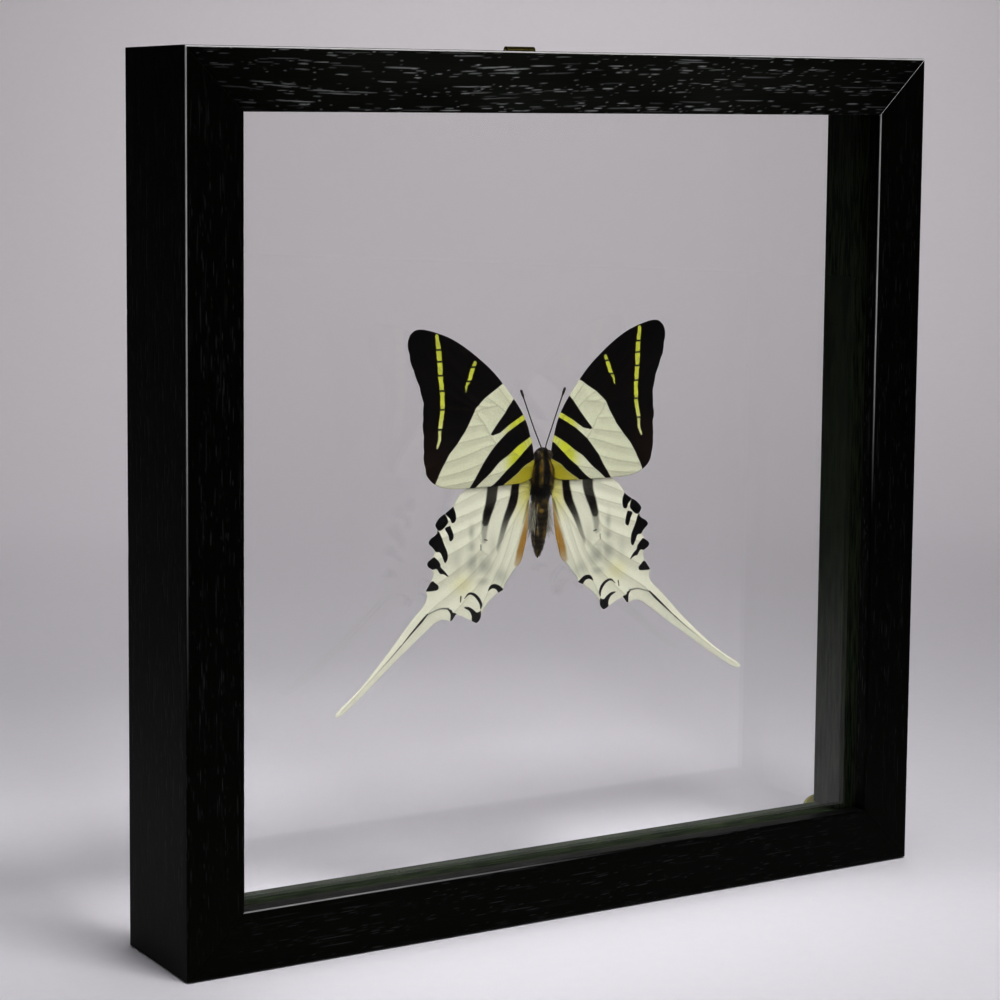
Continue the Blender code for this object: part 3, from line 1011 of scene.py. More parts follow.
@dataclass
class Hanger:
    """The brass strap folded round a ring of wire, and the screw that holds it."""

    width: float = 9.8
    sheet: float = 0.33
    barrel: float = 1.05
    layer: float = 0.2
    plate: float = 7.2
    wire: float = 0.45
    ring_half: float = 5.7
    ring_drop: float = 8.0
    head_radius: float = 1.9
    head_height: float = 1.0
    shank_radius: float = 0.8
    shank_length: float = 7.0
    tip_length: float = 1.6
    thread_pitch: float = 0.9
    recess: float = 0.5
    clearance: float = 0.02
    finish: StampedBrass = field(default_factory=StampedBrass)
    plating: StampedBrass = StampedBrass(
        name="brass_plated_steel", bright="#c2a766", dull_and_sheen="#93804e", roughness=0.26
    )

    def axis(self) -> Array:
        """The middle of the ring's bar, in millimetres."""
        low, high = packed_box("hanger_ring")
        return np.array([*(low + high)[:2] / 2, high[2] - self.wire])

    def strap(self) -> Surface:
        """The folded sheet. Its middle line runs up the front, round the barrel and down
        the back, half its thickness is laid off each way, and each slice ends on a half
        round at the bottom."""
        axis = self.axis()
        radius = self.barrel - self.sheet / 2
        join = math.asin(self.layer / radius)
        angle = np.linspace(-math.pi / 2 - join, -5 * math.pi / 2 + join, 40)
        barrel = np.stack([np.cos(angle), np.sin(angle)], axis=-1) * radius
        reach = self.width / 2 - self.clearance
        side = np.linspace(-reach, reach, 61)
        drop = self.plate - self.width / 2 + np.sqrt((self.width / 2) ** 2 - side**2)
        share = np.linspace(1.0, 0.0, 12, endpoint=False)[:, None]
        top = -barrel[0, 1] + 0.12
        rings = []
        for x, low in zip(side, drop):
            depth = top + (low - top) * share
            leg = np.full_like(depth, self.layer)
            middle = np.concatenate([
                np.concatenate([-leg, -depth], axis=1), barrel,
                np.concatenate([leg, -depth], axis=1)[::-1],
            ])
            tangent = unit(np.gradient(middle, axis=0))
            normal = np.stack([-tangent[:, 1], tangent[:, 0]], axis=-1) * self.sheet / 2
            loop = np.concatenate([middle + normal, (middle - normal)[::-1]])
            rings.append(np.concatenate([np.full((len(loop), 1), x), loop], axis=1) + axis)
        return ring_surface(np.array(rings), Ends.FLAT)

    def ring(self) -> Surface:
        """A D of wire: round sections carried along a closed line, a bar above and a half
        round below, with rounded corners."""
        axis = self.axis()
        half, corner = self.ring_half, 3 * self.wire
        quarter = np.linspace(math.pi / 2, 0.0, 9)
        right = np.stack([half - corner + corner * np.cos(quarter),
                          -corner + corner * np.sin(quarter)], axis=-1)
        low = np.linspace(0.0, -math.pi, 49)
        bow = np.stack([half * np.cos(low), half - self.ring_drop + half * np.sin(low)], axis=-1)
        left = right[::-1] * (-1.0, 1.0)
        bar = np.stack([np.linspace(-half / 2, half / 2, 9), np.zeros(9)], axis=-1)
        closed = np.concatenate([bar, right, bow, left, bar[:1]])
        line = along_line(closed, np.linspace(0.0, 1.0, 160, endpoint=False))
        tangent = unit(np.roll(line, -1, axis=0) - np.roll(line, 1, axis=0))
        angle = full_turn(16)
        out = self.wire * np.cos(angle)[None, :]
        x = line[:, :1] - tangent[:, 1:] * out
        z = line[:, 1:] + tangent[:, :1] * out
        y = np.broadcast_to(self.wire * np.sin(angle), x.shape)
        return ring_surface(np.stack([x, y, z], axis=-1) + axis, Ends.JOINED)

    def screw(self) -> Surface:
        """A pan head with a cross recess on a shank with a thread.

        The head's height is that of a flat dome, less the recess where a point lies
        within either arm of the cross. The shank's radius rises and falls once a turn.
        """
        low, high = packed_box("hanger_screw")
        angle = full_turn(96)[None, :]
        back = np.linspace(-self.shank_length + self.clearance, 0.0, 90)[:, None]
        taper = np.clip((back + self.shank_length) / self.tip_length, 0.03, 1.0)
        thread = 0.86 + 0.13 * np.cos(angle - 2 * math.pi * back / self.thread_pitch)
        even = np.ones_like(angle)
        rim_y = np.array([0.0, 0.12, 0.26])[:, None] * self.head_height * even
        reach = np.linspace(0.985, 0.02, 44)[:, None] * even
        dome = self.head_height * (0.26 + 0.74 * np.sqrt(np.clip(1 - reach**2.4, 0, 1)))
        across = reach * self.head_radius * np.abs(np.cos(angle))
        upright = reach * self.head_radius * np.abs(np.sin(angle))
        arm = np.minimum(across, upright)
        cross = (1 - smoothstep(0.16, 0.28, arm)) * (
            1 - smoothstep(0.85, 1.0, np.maximum(across, upright))
        )
        head_y = np.minimum(dome, self.head_height * 0.995) - self.recess * cross
        radius = np.concatenate([
            self.shank_radius * taper * thread, np.full_like(rim_y, self.head_radius),
            reach * self.head_radius,
        ])
        y = np.concatenate([back * even, rim_y, head_y]) + high[1] - self.head_height
        return ring_surface(round_rings((low + high) / 2, radius, y, angle + 0.4), Ends.POINTED)

    def build(self) -> None:
        """Makes the strap, the ring and the screw."""
        brass, plated = self.finish.material(), self.plating.material()
        make_piece("folded_strap", self.strap(), brass, Slot.BRASS, "hanger_strap")
        make_piece("wire_ring", self.ring(), brass, Slot.BRASS, "hanger_ring", body=Body.RING)
        make_piece("pan_head_screw", self.screw(), plated, Slot.BRASS, "hanger_screw")


# ---------------------------------------------------------------- butterfly


@dataclass
class Wing:
    """A wing between a leading and a trailing edge, which meet at its tip.

    Places are millimetres out from the body's middle line and up from the frame's base.
    """

    leading: Line
    trailing: Line
    matches: tuple[tuple[float, int, int], ...]
    veins: tuple[Line, ...]
    rows: int
    columns: int
    thickness: float = 0.16
    vein_height: float = 0.05
    vein_half: float = 0.17
    valley_half: float = 1.3
    pleat: float = 0.11
    scallop: float = 0.0
    scallop_pitch: float = 4.7

    def edge(self, points: Line, column: int, share: Array) -> Array:
        """An edge's points where it is cut by the matched rows."""
        steps = 10
        line = smooth_line(np.array(points), steps)
        lengths = lengths_along(line)
        knots = [match[0] for match in self.matches]
        marks = [lengths[match[column] * steps] for match in self.matches]
        return along_line(line, np.interp(share, knots, marks) / lengths[-1])

    def sheet(self) -> Array:
        """The wing's flat grid: straight lines from the leading to the trailing edge, whose
        outer part is scalloped by a cosine of the height."""
        share = np.linspace(0.0, 0.999, self.rows)
        front = self.edge(self.leading, 1, share)[:, None, :]
        back = self.edge(self.trailing, 2, share)[:, None, :]
        outer = smoothstep(37.5, 39.5, back[..., 0]) * (1 - smoothstep(165.0, 168.0, back[..., 1]))
        ripple = 0.5 + 0.5 * np.cos(2 * math.pi * back[..., 1] / self.scallop_pitch)
        back[..., 0] -= self.scallop * outer * ripple**2
        across = np.linspace(0.0, 1.0, self.columns)[None, :, None]
        return front + (back - front) * across

    def relief(self, x: Array, z: Array) -> Array:
        """How far back the wing lies, in millimetres."""
        raise NotImplementedError

    def markings(self, places: Array) -> dict[str, Array]:
        """The wing's markings as values at its places."""
        raise NotImplementedError

    def surface(self, sign: float) -> Surface:
        """The wing as a thin closed shell, mirrored by the sign.

        Its middle lies on the relief, sinks between the veins by a bell curve of the
        distance to the nearest one, and rises on each vein. The front and back lie half a
        thickness to each side, thinning to the edges.
        """
        grid = self.sheet()
        flat, shape = grid.reshape(-1, 2), grid.shape[:2]
        distance = np.min([
            distance_to(flat, smooth_line(np.array(vein), 5)) for vein in self.veins
        ], axis=0)
        ridge = np.exp(-((distance / self.vein_half) ** 2))
        valley = 1.0 - np.exp(-((distance / self.valley_half) ** 2))
        middle = (self.relief(flat[:, 0], flat[:, 1]) + self.pleat * valley).reshape(shape)
        across = np.linspace(-1.0, 1.0, self.columns)
        half = self.thickness / 2 * (0.15 + 0.85 * np.sqrt(1 - across**8))
        half = half + (ridge * self.vein_height).reshape(shape)
        x = BODY_X + sign * grid[..., 0]
        front = np.stack([x, middle - half, grid[..., 1]], axis=-1)
        back = np.stack([x, middle + half, grid[..., 1]], axis=-1)[:, ::-1]
        both = {
            name: np.concatenate([value.reshape(shape), value.reshape(shape)[:, ::-1]], axis=1)
            for name, value in (self.markings(flat) | {"vein": ridge}).items()
        }
        both["under"] = np.concatenate([np.zeros(shape), np.ones(shape)], axis=1)
        return ring_surface(np.concatenate([front, back], axis=1), Ends.POINTED, both)


@dataclass(frozen=True)
class Stroke:
    """A marking drawn as one stroke: its line, half widths and strengths along it."""

    line: Line
    halves: tuple[float, ...]
    strengths: tuple[float, ...] = (1.0, 1.0)
    soft: float = 0.3

    def inside(self, places: Array) -> tuple[Array, Array]:
        """The distance inside the stroke, and its strength, at each place."""
        middle = smooth_line(np.array(self.line), 6)
        share = np.linspace(0.0, 1.0, len(middle))
        half, strength = (
            np.interp(share, np.linspace(0.0, 1.0, len(values)), values)
            for values in (self.halves, self.strengths)
        )
        return stroke(places, middle, half, strength)

    def mask(self, places: Array) -> Array:
        """The stroke's strength, which fades across its edge."""
        distance, strength = self.inside(places)
        return strength * smoothstep(-self.soft, self.soft, distance)


FOREWING_LEADING: Line = (
    (3.0, 133.0), (3.4, 136.0), (4.1, 138.8), (5.5, 143.2), (8.0, 147.8), (12.8, 154.1),
    (16.5, 158.2), (20.0, 161.3), (25.0, 165.1), (30.0, 168.15), (35.0, 170.15), (39.5, 171.3),
    (42.2, 171.2), (43.9, 170.0),
)
FOREWING_TRAILING: Line = (
    (2.6, 130.0), (3.0, 127.2), (6.6, 125.5), (12.0, 125.1), (22.0, 125.0), (29.0, 125.0),
    (33.0, 125.5), (36.0, 126.6), (38.3, 128.5), (39.5, 131.0), (40.1, 135.5), (40.0, 139.5),
    (40.3, 144.0), (40.0, 149.0), (40.4, 152.0), (41.7, 156.3), (43.6, 161.0), (44.6, 165.5),
    (44.7, 168.0), (43.9, 170.0),
)
FOREWING_VEINS: tuple[Line, ...] = (
    ((3.4, 133.5), (7.0, 143.0), (12.5, 150.8), (22.0, 160.8), (33.0, 168.0)),
    ((3.6, 132.5), (9.0, 142.5), (15.0, 148.5), (22.5, 153.5), (31.0, 162.0), (37.5, 170.6)),
    ((15.0, 148.5), (22.0, 149.0), (32.0, 157.5), (43.0, 168.6)),
    ((22.5, 147.5), (32.0, 153.0), (43.5, 161.2)),
    ((22.0, 147.0), (31.0, 148.6), (40.3, 150.6)),
    ((15.0, 148.5), (22.0, 147.2), (19.6, 143.2), (17.8, 140.0), (15.8, 137.3)),
    ((19.6, 143.2), (30.0, 142.6), (40.2, 143.0)),
    ((17.8, 140.0), (29.0, 138.2), (40.0, 137.0)),
    ((3.6, 131.2), (9.0, 134.0), (15.8, 137.3), (28.0, 134.0), (39.4, 131.6)),
    ((9.0, 134.0), (15.5, 133.4), (26.0, 130.3), (38.0, 128.2)),
    ((3.6, 130.2), (12.0, 129.4), (24.0, 127.0), (34.5, 125.9)),
)
CREAM_BAND: Line = (
    (8.4, 151.6), (12.0, 155.8), (16.0, 153.1), (19.5, 150.9), (22.7, 148.0), (24.2, 145.0),
    (26.5, 141.2), (29.2, 137.8), (31.5, 135.3), (33.6, 132.0), (35.2, 129.0), (36.4, 126.4),
    (36.5, 123.0), (25.4, 123.0), (24.6, 125.1), (23.4, 126.9), (21.8, 129.3), (20.0, 132.3),
    (17.5, 135.4), (15.7, 137.4), (16.4, 139.6), (17.8, 140.2), (15.5, 143.0), (13.0, 146.0),
    (11.2, 148.5),
)
FIRST_STRIPE: Line = (
    (4.4, 146.8), (6.8, 145.3), (8.0, 144.6), (11.0, 142.9), (14.5, 140.5), (16.6, 140.0),
    (18.6, 138.8), (15.7, 137.4), (12.0, 140.5), (8.0, 142.9), (4.4, 144.7),
)
SECOND_STRIPE: Line = (
    (3.0, 139.6), (4.5, 138.7), (8.5, 136.3), (11.5, 134.0), (14.5, 132.2), (17.7, 129.0),
    (20.7, 126.7), (22.7, 125.0), (23.6, 123.0), (17.6, 123.0), (17.5, 125.0), (16.5, 125.6),
    (14.5, 127.3), (12.2, 129.5), (9.5, 131.6), (7.0, 134.0), (4.2, 136.6), (3.0, 137.3),
)
OLIVE_ROOT: Line = (
    (2.0, 132.6), (4.0, 131.5), (6.5, 130.2), (8.5, 128.3), (11.0, 126.6), (13.0, 125.4),
    (14.2, 123.0), (2.0, 123.0),
)
# The dashed line and the short bar, each with the heights at which thin gaps break it.
DASHES: tuple[tuple[Stroke, tuple[float, ...]], ...] = (
    (Stroke(((35.3, 169.2), (34.7, 165.0), (34.4, 161.0), (34.2, 157.0), (33.8, 153.0),
             (33.7, 149.0), (34.1, 145.5), (34.7, 142.5), (34.9, 139.5), (35.7, 137.2)),
            (0.6, 0.74, 0.78, 0.76, 0.74, 0.68, 0.62, 0.55, 0.5, 0.22)),
     (165.4, 162.0, 158.0, 153.6, 148.2, 142.5)),
    (Stroke(((22.7, 161.2), (23.6, 159.2), (24.5, 156.8), (25.4, 155.3), (26.0, 153.0)),
            (0.6, 0.72, 0.64, 0.5, 0.2)),
     (160.0, 156.0)),
)


@dataclass
class Forewing(Wing):
    """The forewing, which leans back towards its apex."""

    leading: Line = FOREWING_LEADING
    trailing: Line = FOREWING_TRAILING
    matches: tuple[tuple[float, int, int], ...] = ((0.0, 0, 0), (0.42, 6, 7), (1.0, 13, 19))
    veins: tuple[Line, ...] = FOREWING_VEINS
    rows: int = 210
    columns: int = 150
    scallop: float = 0.2
    gap_half: float = 0.26

    def relief(self, x: Array, z: Array) -> Array:
        """A plane that leans back outwards, and more so towards the apex."""
        high = np.clip((z - 135.0) / 36.0, 0.0, 1.0)
        return 1.0 + 0.5 * x / 36.0 + 1.3 * high**1.2

    def dashes(self, places: Array) -> Array:
        """The distance inside the dashed strokes, with ragged edges and thin gaps."""
        ragged = 0.16 * drift(places[:, 0] / 0.9, places[:, 1] / 0.8, 21)
        return np.max([
            np.minimum(
                mark.inside(places)[0] + ragged,
                np.abs(places[:, 1:] - np.array(breaks)).min(axis=1) - self.gap_half,
            )
            for mark, breaks in DASHES
        ], axis=0)

    def markings(self, places: Array) -> dict[str, Array]:
        """Distances inside the pale areas, and the shares of yellow, olive and brown."""
        x, z = places.T
        band = inside_outline(places, np.array(CREAM_BAND))
        stripes = np.maximum(
            inside_outline(places, np.array(FIRST_STRIPE)),
            inside_outline(places, np.array(SECOND_STRIPE)),
        )
        root = inside_outline(places, np.array(OLIVE_ROOT))
        dashes = self.dashes(places)
        yellow = smoothstep(-0.3, 0.1, stripes) * (1 - smoothstep(9.5, 14.5, x)) * (
            0.8 + 0.2 * smoothstep(5.0, 7.5, x)
        )
        yellow = np.maximum(
            yellow, smoothstep(-0.4, 0.0, dashes) * (0.45 + 0.5 * smoothstep(138.0, 150.0, z))
        )
        haze = 0.5 + 0.5 * drift(x / 6.0, z / 6.0, 3)
        return {
            "pale": np.max([band, stripes, root, dashes], axis=0),
            "yellow": yellow,
            "olive": smoothstep(-0.2, 0.2, root) * (1.0 - 0.15 * haze),
            "brown": 0.55 * smoothstep(12.0, 0.0, np.hypot(x - 39.0, (z - 131.0) * 0.7)),
        }


HINDWING_LEADING: Line = (
    (3.0, 125.0), (7.6, 128.4), (14.0, 129.4), (20.0, 128.5), (24.8, 125.2), (28.0, 122.8),
    (30.1, 119.9), (32.3, 118.3), (34.5, 117.0), (36.0, 115.1), (35.4, 113.6), (35.9, 112.2),
    (37.8, 111.0), (38.3, 109.8), (37.0, 108.5), (36.4, 107.0), (37.2, 105.6), (38.7, 104.4),
    (38.6, 103.2), (37.2, 102.2), (36.8, 101.0), (37.2, 99.4), (38.3, 97.6), (39.3, 96.0),
    (38.9, 94.4), (39.9, 92.1), (42.2, 89.9), (44.6, 87.6), (47.5, 84.5), (50.9, 81.0),
    (55.0, 77.0), (58.3, 74.0), (61.7, 71.0), (66.0, 67.8), (69.0, 65.9), (70.8, 64.5),
    (71.0, 63.9),
)
HINDWING_TRAILING: Line = (
    (3.6, 122.5), (4.2, 118.0), (4.5, 114.0), (5.1, 109.0), (6.0, 105.5), (7.0, 102.2),
    (9.2, 100.1), (11.6, 97.2), (12.7, 95.8), (13.2, 94.4), (15.0, 93.5), (17.7, 91.6),
    (19.4, 89.9), (20.6, 88.1), (21.2, 86.4), (22.4, 85.4), (24.0, 86.3), (25.8, 87.5),
    (27.8, 88.0), (29.3, 88.5), (30.2, 87.4), (31.2, 86.7), (33.5, 87.4), (36.4, 86.5),
    (38.7, 84.9), (42.5, 82.2), (46.5, 79.3), (51.1, 76.0), (55.3, 72.9), (59.6, 69.7),
    (64.3, 66.6), (68.2, 64.2), (70.2, 63.5), (71.0, 63.9),
)
HINDWING_VEINS: tuple[Line, ...] = (
    ((4.5, 124.0), (14.0, 125.5), (24.0, 122.5), (29.5, 120.2)),
    ((5.0, 123.0), (14.0, 121.0), (25.0, 117.6), (35.4, 114.8)),
    ((14.0, 121.0), (19.0, 116.0), (28.0, 112.6), (37.8, 109.9)),
    ((19.0, 116.0), (21.5, 111.0), (29.0, 107.2), (38.2, 103.8)),
    ((21.5, 111.0), (21.0, 107.0), (29.0, 101.5), (38.6, 96.3)),
    ((5.0, 120.5), (12.0, 111.0), (18.5, 104.8), (27.0, 97.5), (36.0, 91.8), (39.0, 89.4),
     (45.0, 83.9), (50.0, 79.5), (56.0, 74.6), (62.0, 70.0), (69.0, 64.8)),
    ((12.0, 111.0), (17.0, 102.0), (24.0, 94.5), (30.9, 88.4)),
    ((18.5, 104.8), (21.0, 107.0)),
    ((9.0, 115.0), (13.0, 104.0), (18.0, 95.0), (22.4, 86.6)),
    ((4.8, 119.5), (8.0, 109.0), (11.5, 101.0), (14.0, 95.2)),
)
SOOT_SPOTS: tuple[Line, ...] = (
    ((30.1, 120.2), (29.2, 118.0), (29.3, 115.8), (30.5, 115.2), (31.2, 116.6), (32.6, 118.3)),
    ((32.9, 118.2), (34.6, 117.2), (36.6, 115.1), (35.3, 113.6), (34.0, 113.4), (32.0, 115.2),
     (32.0, 116.6)),
    ((31.1, 114.5), (30.3, 112.5), (30.1, 110.8), (31.2, 110.0), (31.9, 112.0), (32.8, 113.8)),
    ((35.3, 112.6), (38.4, 111.2), (38.9, 109.7), (36.9, 108.4), (35.9, 107.2), (34.6, 107.0),
     (33.6, 105.0), (32.9, 103.8), (32.1, 105.0), (32.3, 107.2), (33.4, 109.6), (34.1, 111.4),
     (35.0, 113.2), (35.6, 113.0)),
    ((36.5, 105.8), (39.3, 104.6), (39.3, 102.9), (37.0, 102.2), (35.7, 102.3), (34.6, 100.8),
     (33.5, 100.6), (31.8, 99.7), (33.0, 101.4), (34.3, 102.6), (34.6, 103.8), (35.5, 104.9)),
    ((37.0, 98.9), (38.6, 97.8), (39.3, 96.2), (37.2, 96.0), (35.4, 96.2), (35.1, 97.2),
     (36.0, 98.1)),
    ((20.9, 88.9), (21.0, 86.4), (22.4, 84.8), (23.9, 86.0), (24.0, 87.6), (24.9, 89.2),
     (26.8, 90.3), (25.0, 90.3), (23.4, 89.4), (22.3, 88.5)),
    ((32.3, 90.4), (30.9, 90.0), (30.4, 89.2), (29.2, 88.7), (30.1, 87.6), (30.5, 86.4),
     (31.2, 86.4), (31.2, 88.2), (31.4, 89.2)),
    ((13.0, 94.4), (14.5, 95.7), (16.1, 96.3), (17.6, 96.0), (18.5, 94.4), (17.2, 95.0),
     (15.8, 94.8), (14.5, 93.5)),
)
SOOT_LINES: tuple[Stroke, ...] = (
    Stroke(((26.4, 93.0), (24.9, 94.2), (23.2, 93.8), (21.7, 92.4), (20.9, 90.8), (21.0, 89.6)),
           (0.12, 0.3, 0.42, 0.5, 0.42, 0.2)),
    Stroke(((27.6, 93.6), (27.8, 92.0)), (0.22, 0.16)),
    Stroke(((39.0, 89.4), (41.0, 87.5), (45.0, 83.9), (48.5, 80.7)), (0.22, 0.36, 0.22, 0.04)),
    Stroke(((19.6, 109.6), (18.6, 109.3)), (0.2, 0.14)),
    Stroke(((20.9, 108.2), (20.9, 106.6)), (0.16, 0.12)),
)
SHADE_STROKES: tuple[Stroke, ...] = (
    # The outer stripe, browner above, sootier at its foot, then a clear grey.
    Stroke(((16.5, 126.0), (17.0, 121.5), (18.4, 117.4), (19.2, 114.6)),
           (1.9, 1.75, 1.45, 1.2), (0.86, 0.92, 1.0, 0.9), 0.3),
    Stroke(((19.2, 114.6), (19.6, 112.0), (19.7, 109.4)), (1.2, 1.0, 0.8), (0.6, 0.45, 0.4), 0.5),
    # The inner spear, black above and fading to a grey point.
    Stroke(((8.6, 126.0), (9.6, 120.0), (12.0, 115.0), (13.7, 110.6), (15.0, 107.0),
            (15.2, 105.5)), (1.25, 1.5, 1.05, 0.8, 0.55, 0.2), (1.0, 1.0, 0.9, 0.6, 0.45, 0.2),
           0.3),
    # The tail's dark line fades into the midrib.
    Stroke(((48.0, 81.2), (52.3, 77.5), (57.0, 73.8)), (0.2, 0.15, 0.1), (0.8, 0.5, 0.1), 0.2),
    Stroke(((31.8, 90.4), (34.5, 90.6), (37.0, 90.0), (39.0, 89.3)), (0.22, 0.2, 0.18, 0.16),
           (0.9, 0.7, 0.6, 0.7), 0.2),
    Stroke(((4.3, 119.8), (6.3, 113.5)), (0.25, 0.2), (0.75, 0.3), 0.3),
)
OCHRE_STROKES: tuple[Stroke, ...] = (
    Stroke(((4.4, 118.5), (5.1, 113.5), (6.1, 109.0), (7.1, 105.0), (8.3, 101.8)),
           (0.4, 0.8, 1.3, 1.5, 1.0), (0.6, 0.85, 1.0, 1.0, 0.6), 0.5),
)
CLOUDS: tuple[tuple[float, float, float, float, float], ...] = (
    (24.0, 112.0, 1.0, 2.4, 0.5), (23.8, 107.8, 1.4, 1.8, 0.6), (23.9, 103.0, 1.9, 3.0, 0.75),
    (19.5, 102.3, 2.6, 3.0, 0.7), (20.0, 97.4, 2.4, 1.3, 0.5), (14.2, 98.3, 2.2, 2.4, 0.55),
    (17.0, 107.5, 1.6, 4.0, 0.35), (29.0, 104.0, 1.6, 3.0, 0.3),
)


@dataclass
class Hindwing(Wing):
    """The hindwing, with scalloped margins and a long tail that curls forwards."""

    leading: Line = HINDWING_LEADING
    trailing: Line = HINDWING_TRAILING
    matches: tuple[tuple[float, int, int], ...] = (
        (0.0, 0, 0), (0.22, 6, 3), (0.40, 17, 8), (0.50, 24, 15), (0.60, 27, 23), (1.0, 36, 33),
    )
    veins: tuple[Line, ...] = HINDWING_VEINS
    rows: int = 400
    columns: int = 110
    pleat: float = 0.16

    def relief(self, x: Array, z: Array) -> Array:
        """Behind the forewing at the top, level below, and curling forwards down the tail
        as the power 1.6 of the distance along it."""
        tail = np.clip(((x - 40.0) * 0.77 + (90.0 - z) * 0.64) / 41.0, 0.0, 1.0)
        top = 0.78 * smoothstep(104.0, 127.0, z)
        return 1.0 + top + 0.2 * np.minimum(x, 38.0) / 38.0 - (
            0.35 * smoothstep(100.0, 86.0, z) + 3.8 * tail**1.6
        )

    def markings(self, places: Array) -> dict[str, Array]:
        """Distances inside the soot marks, and the shares of the softer colours."""
        x, z = places.T
        spots = [
            inside_outline(places, smooth_line(np.array(spot + spot[:1]), 4)[:-1])
            for spot in SOOT_SPOTS
        ]
        lines = [mark.inside(places)[0] for mark in SOOT_LINES]
        cloud = np.max([
            depth * np.exp(-(((x - cx) / rx) ** 2 + ((z - cz) / rz) ** 2))
            for cx, cz, rx, rz, depth in CLOUDS
        ], axis=0)
        return {
            "soot": np.max(spots + lines, axis=0),
            "stripe": np.max([mark.mask(places) for mark in SHADE_STROKES], axis=0),
            "ochre": np.max([mark.mask(places) for mark in OCHRE_STROKES], axis=0) * (
                0.94 + 0.06 * drift(x / 0.5, z / 5.0, 17)
            ),
            "cloud": cloud * (0.75 + 0.25 * drift(x / 1.6, z / 4.0, 8)),
            "root": smoothstep(110.0, 123.0, z) * (1 - smoothstep(4.0, 13.0, x)) * 0.9,
            "warm": 0.8 * np.exp(-(((x - 27.0) / 3.5) ** 2 + ((z - 97.0) / 3.0) ** 2)),
        }


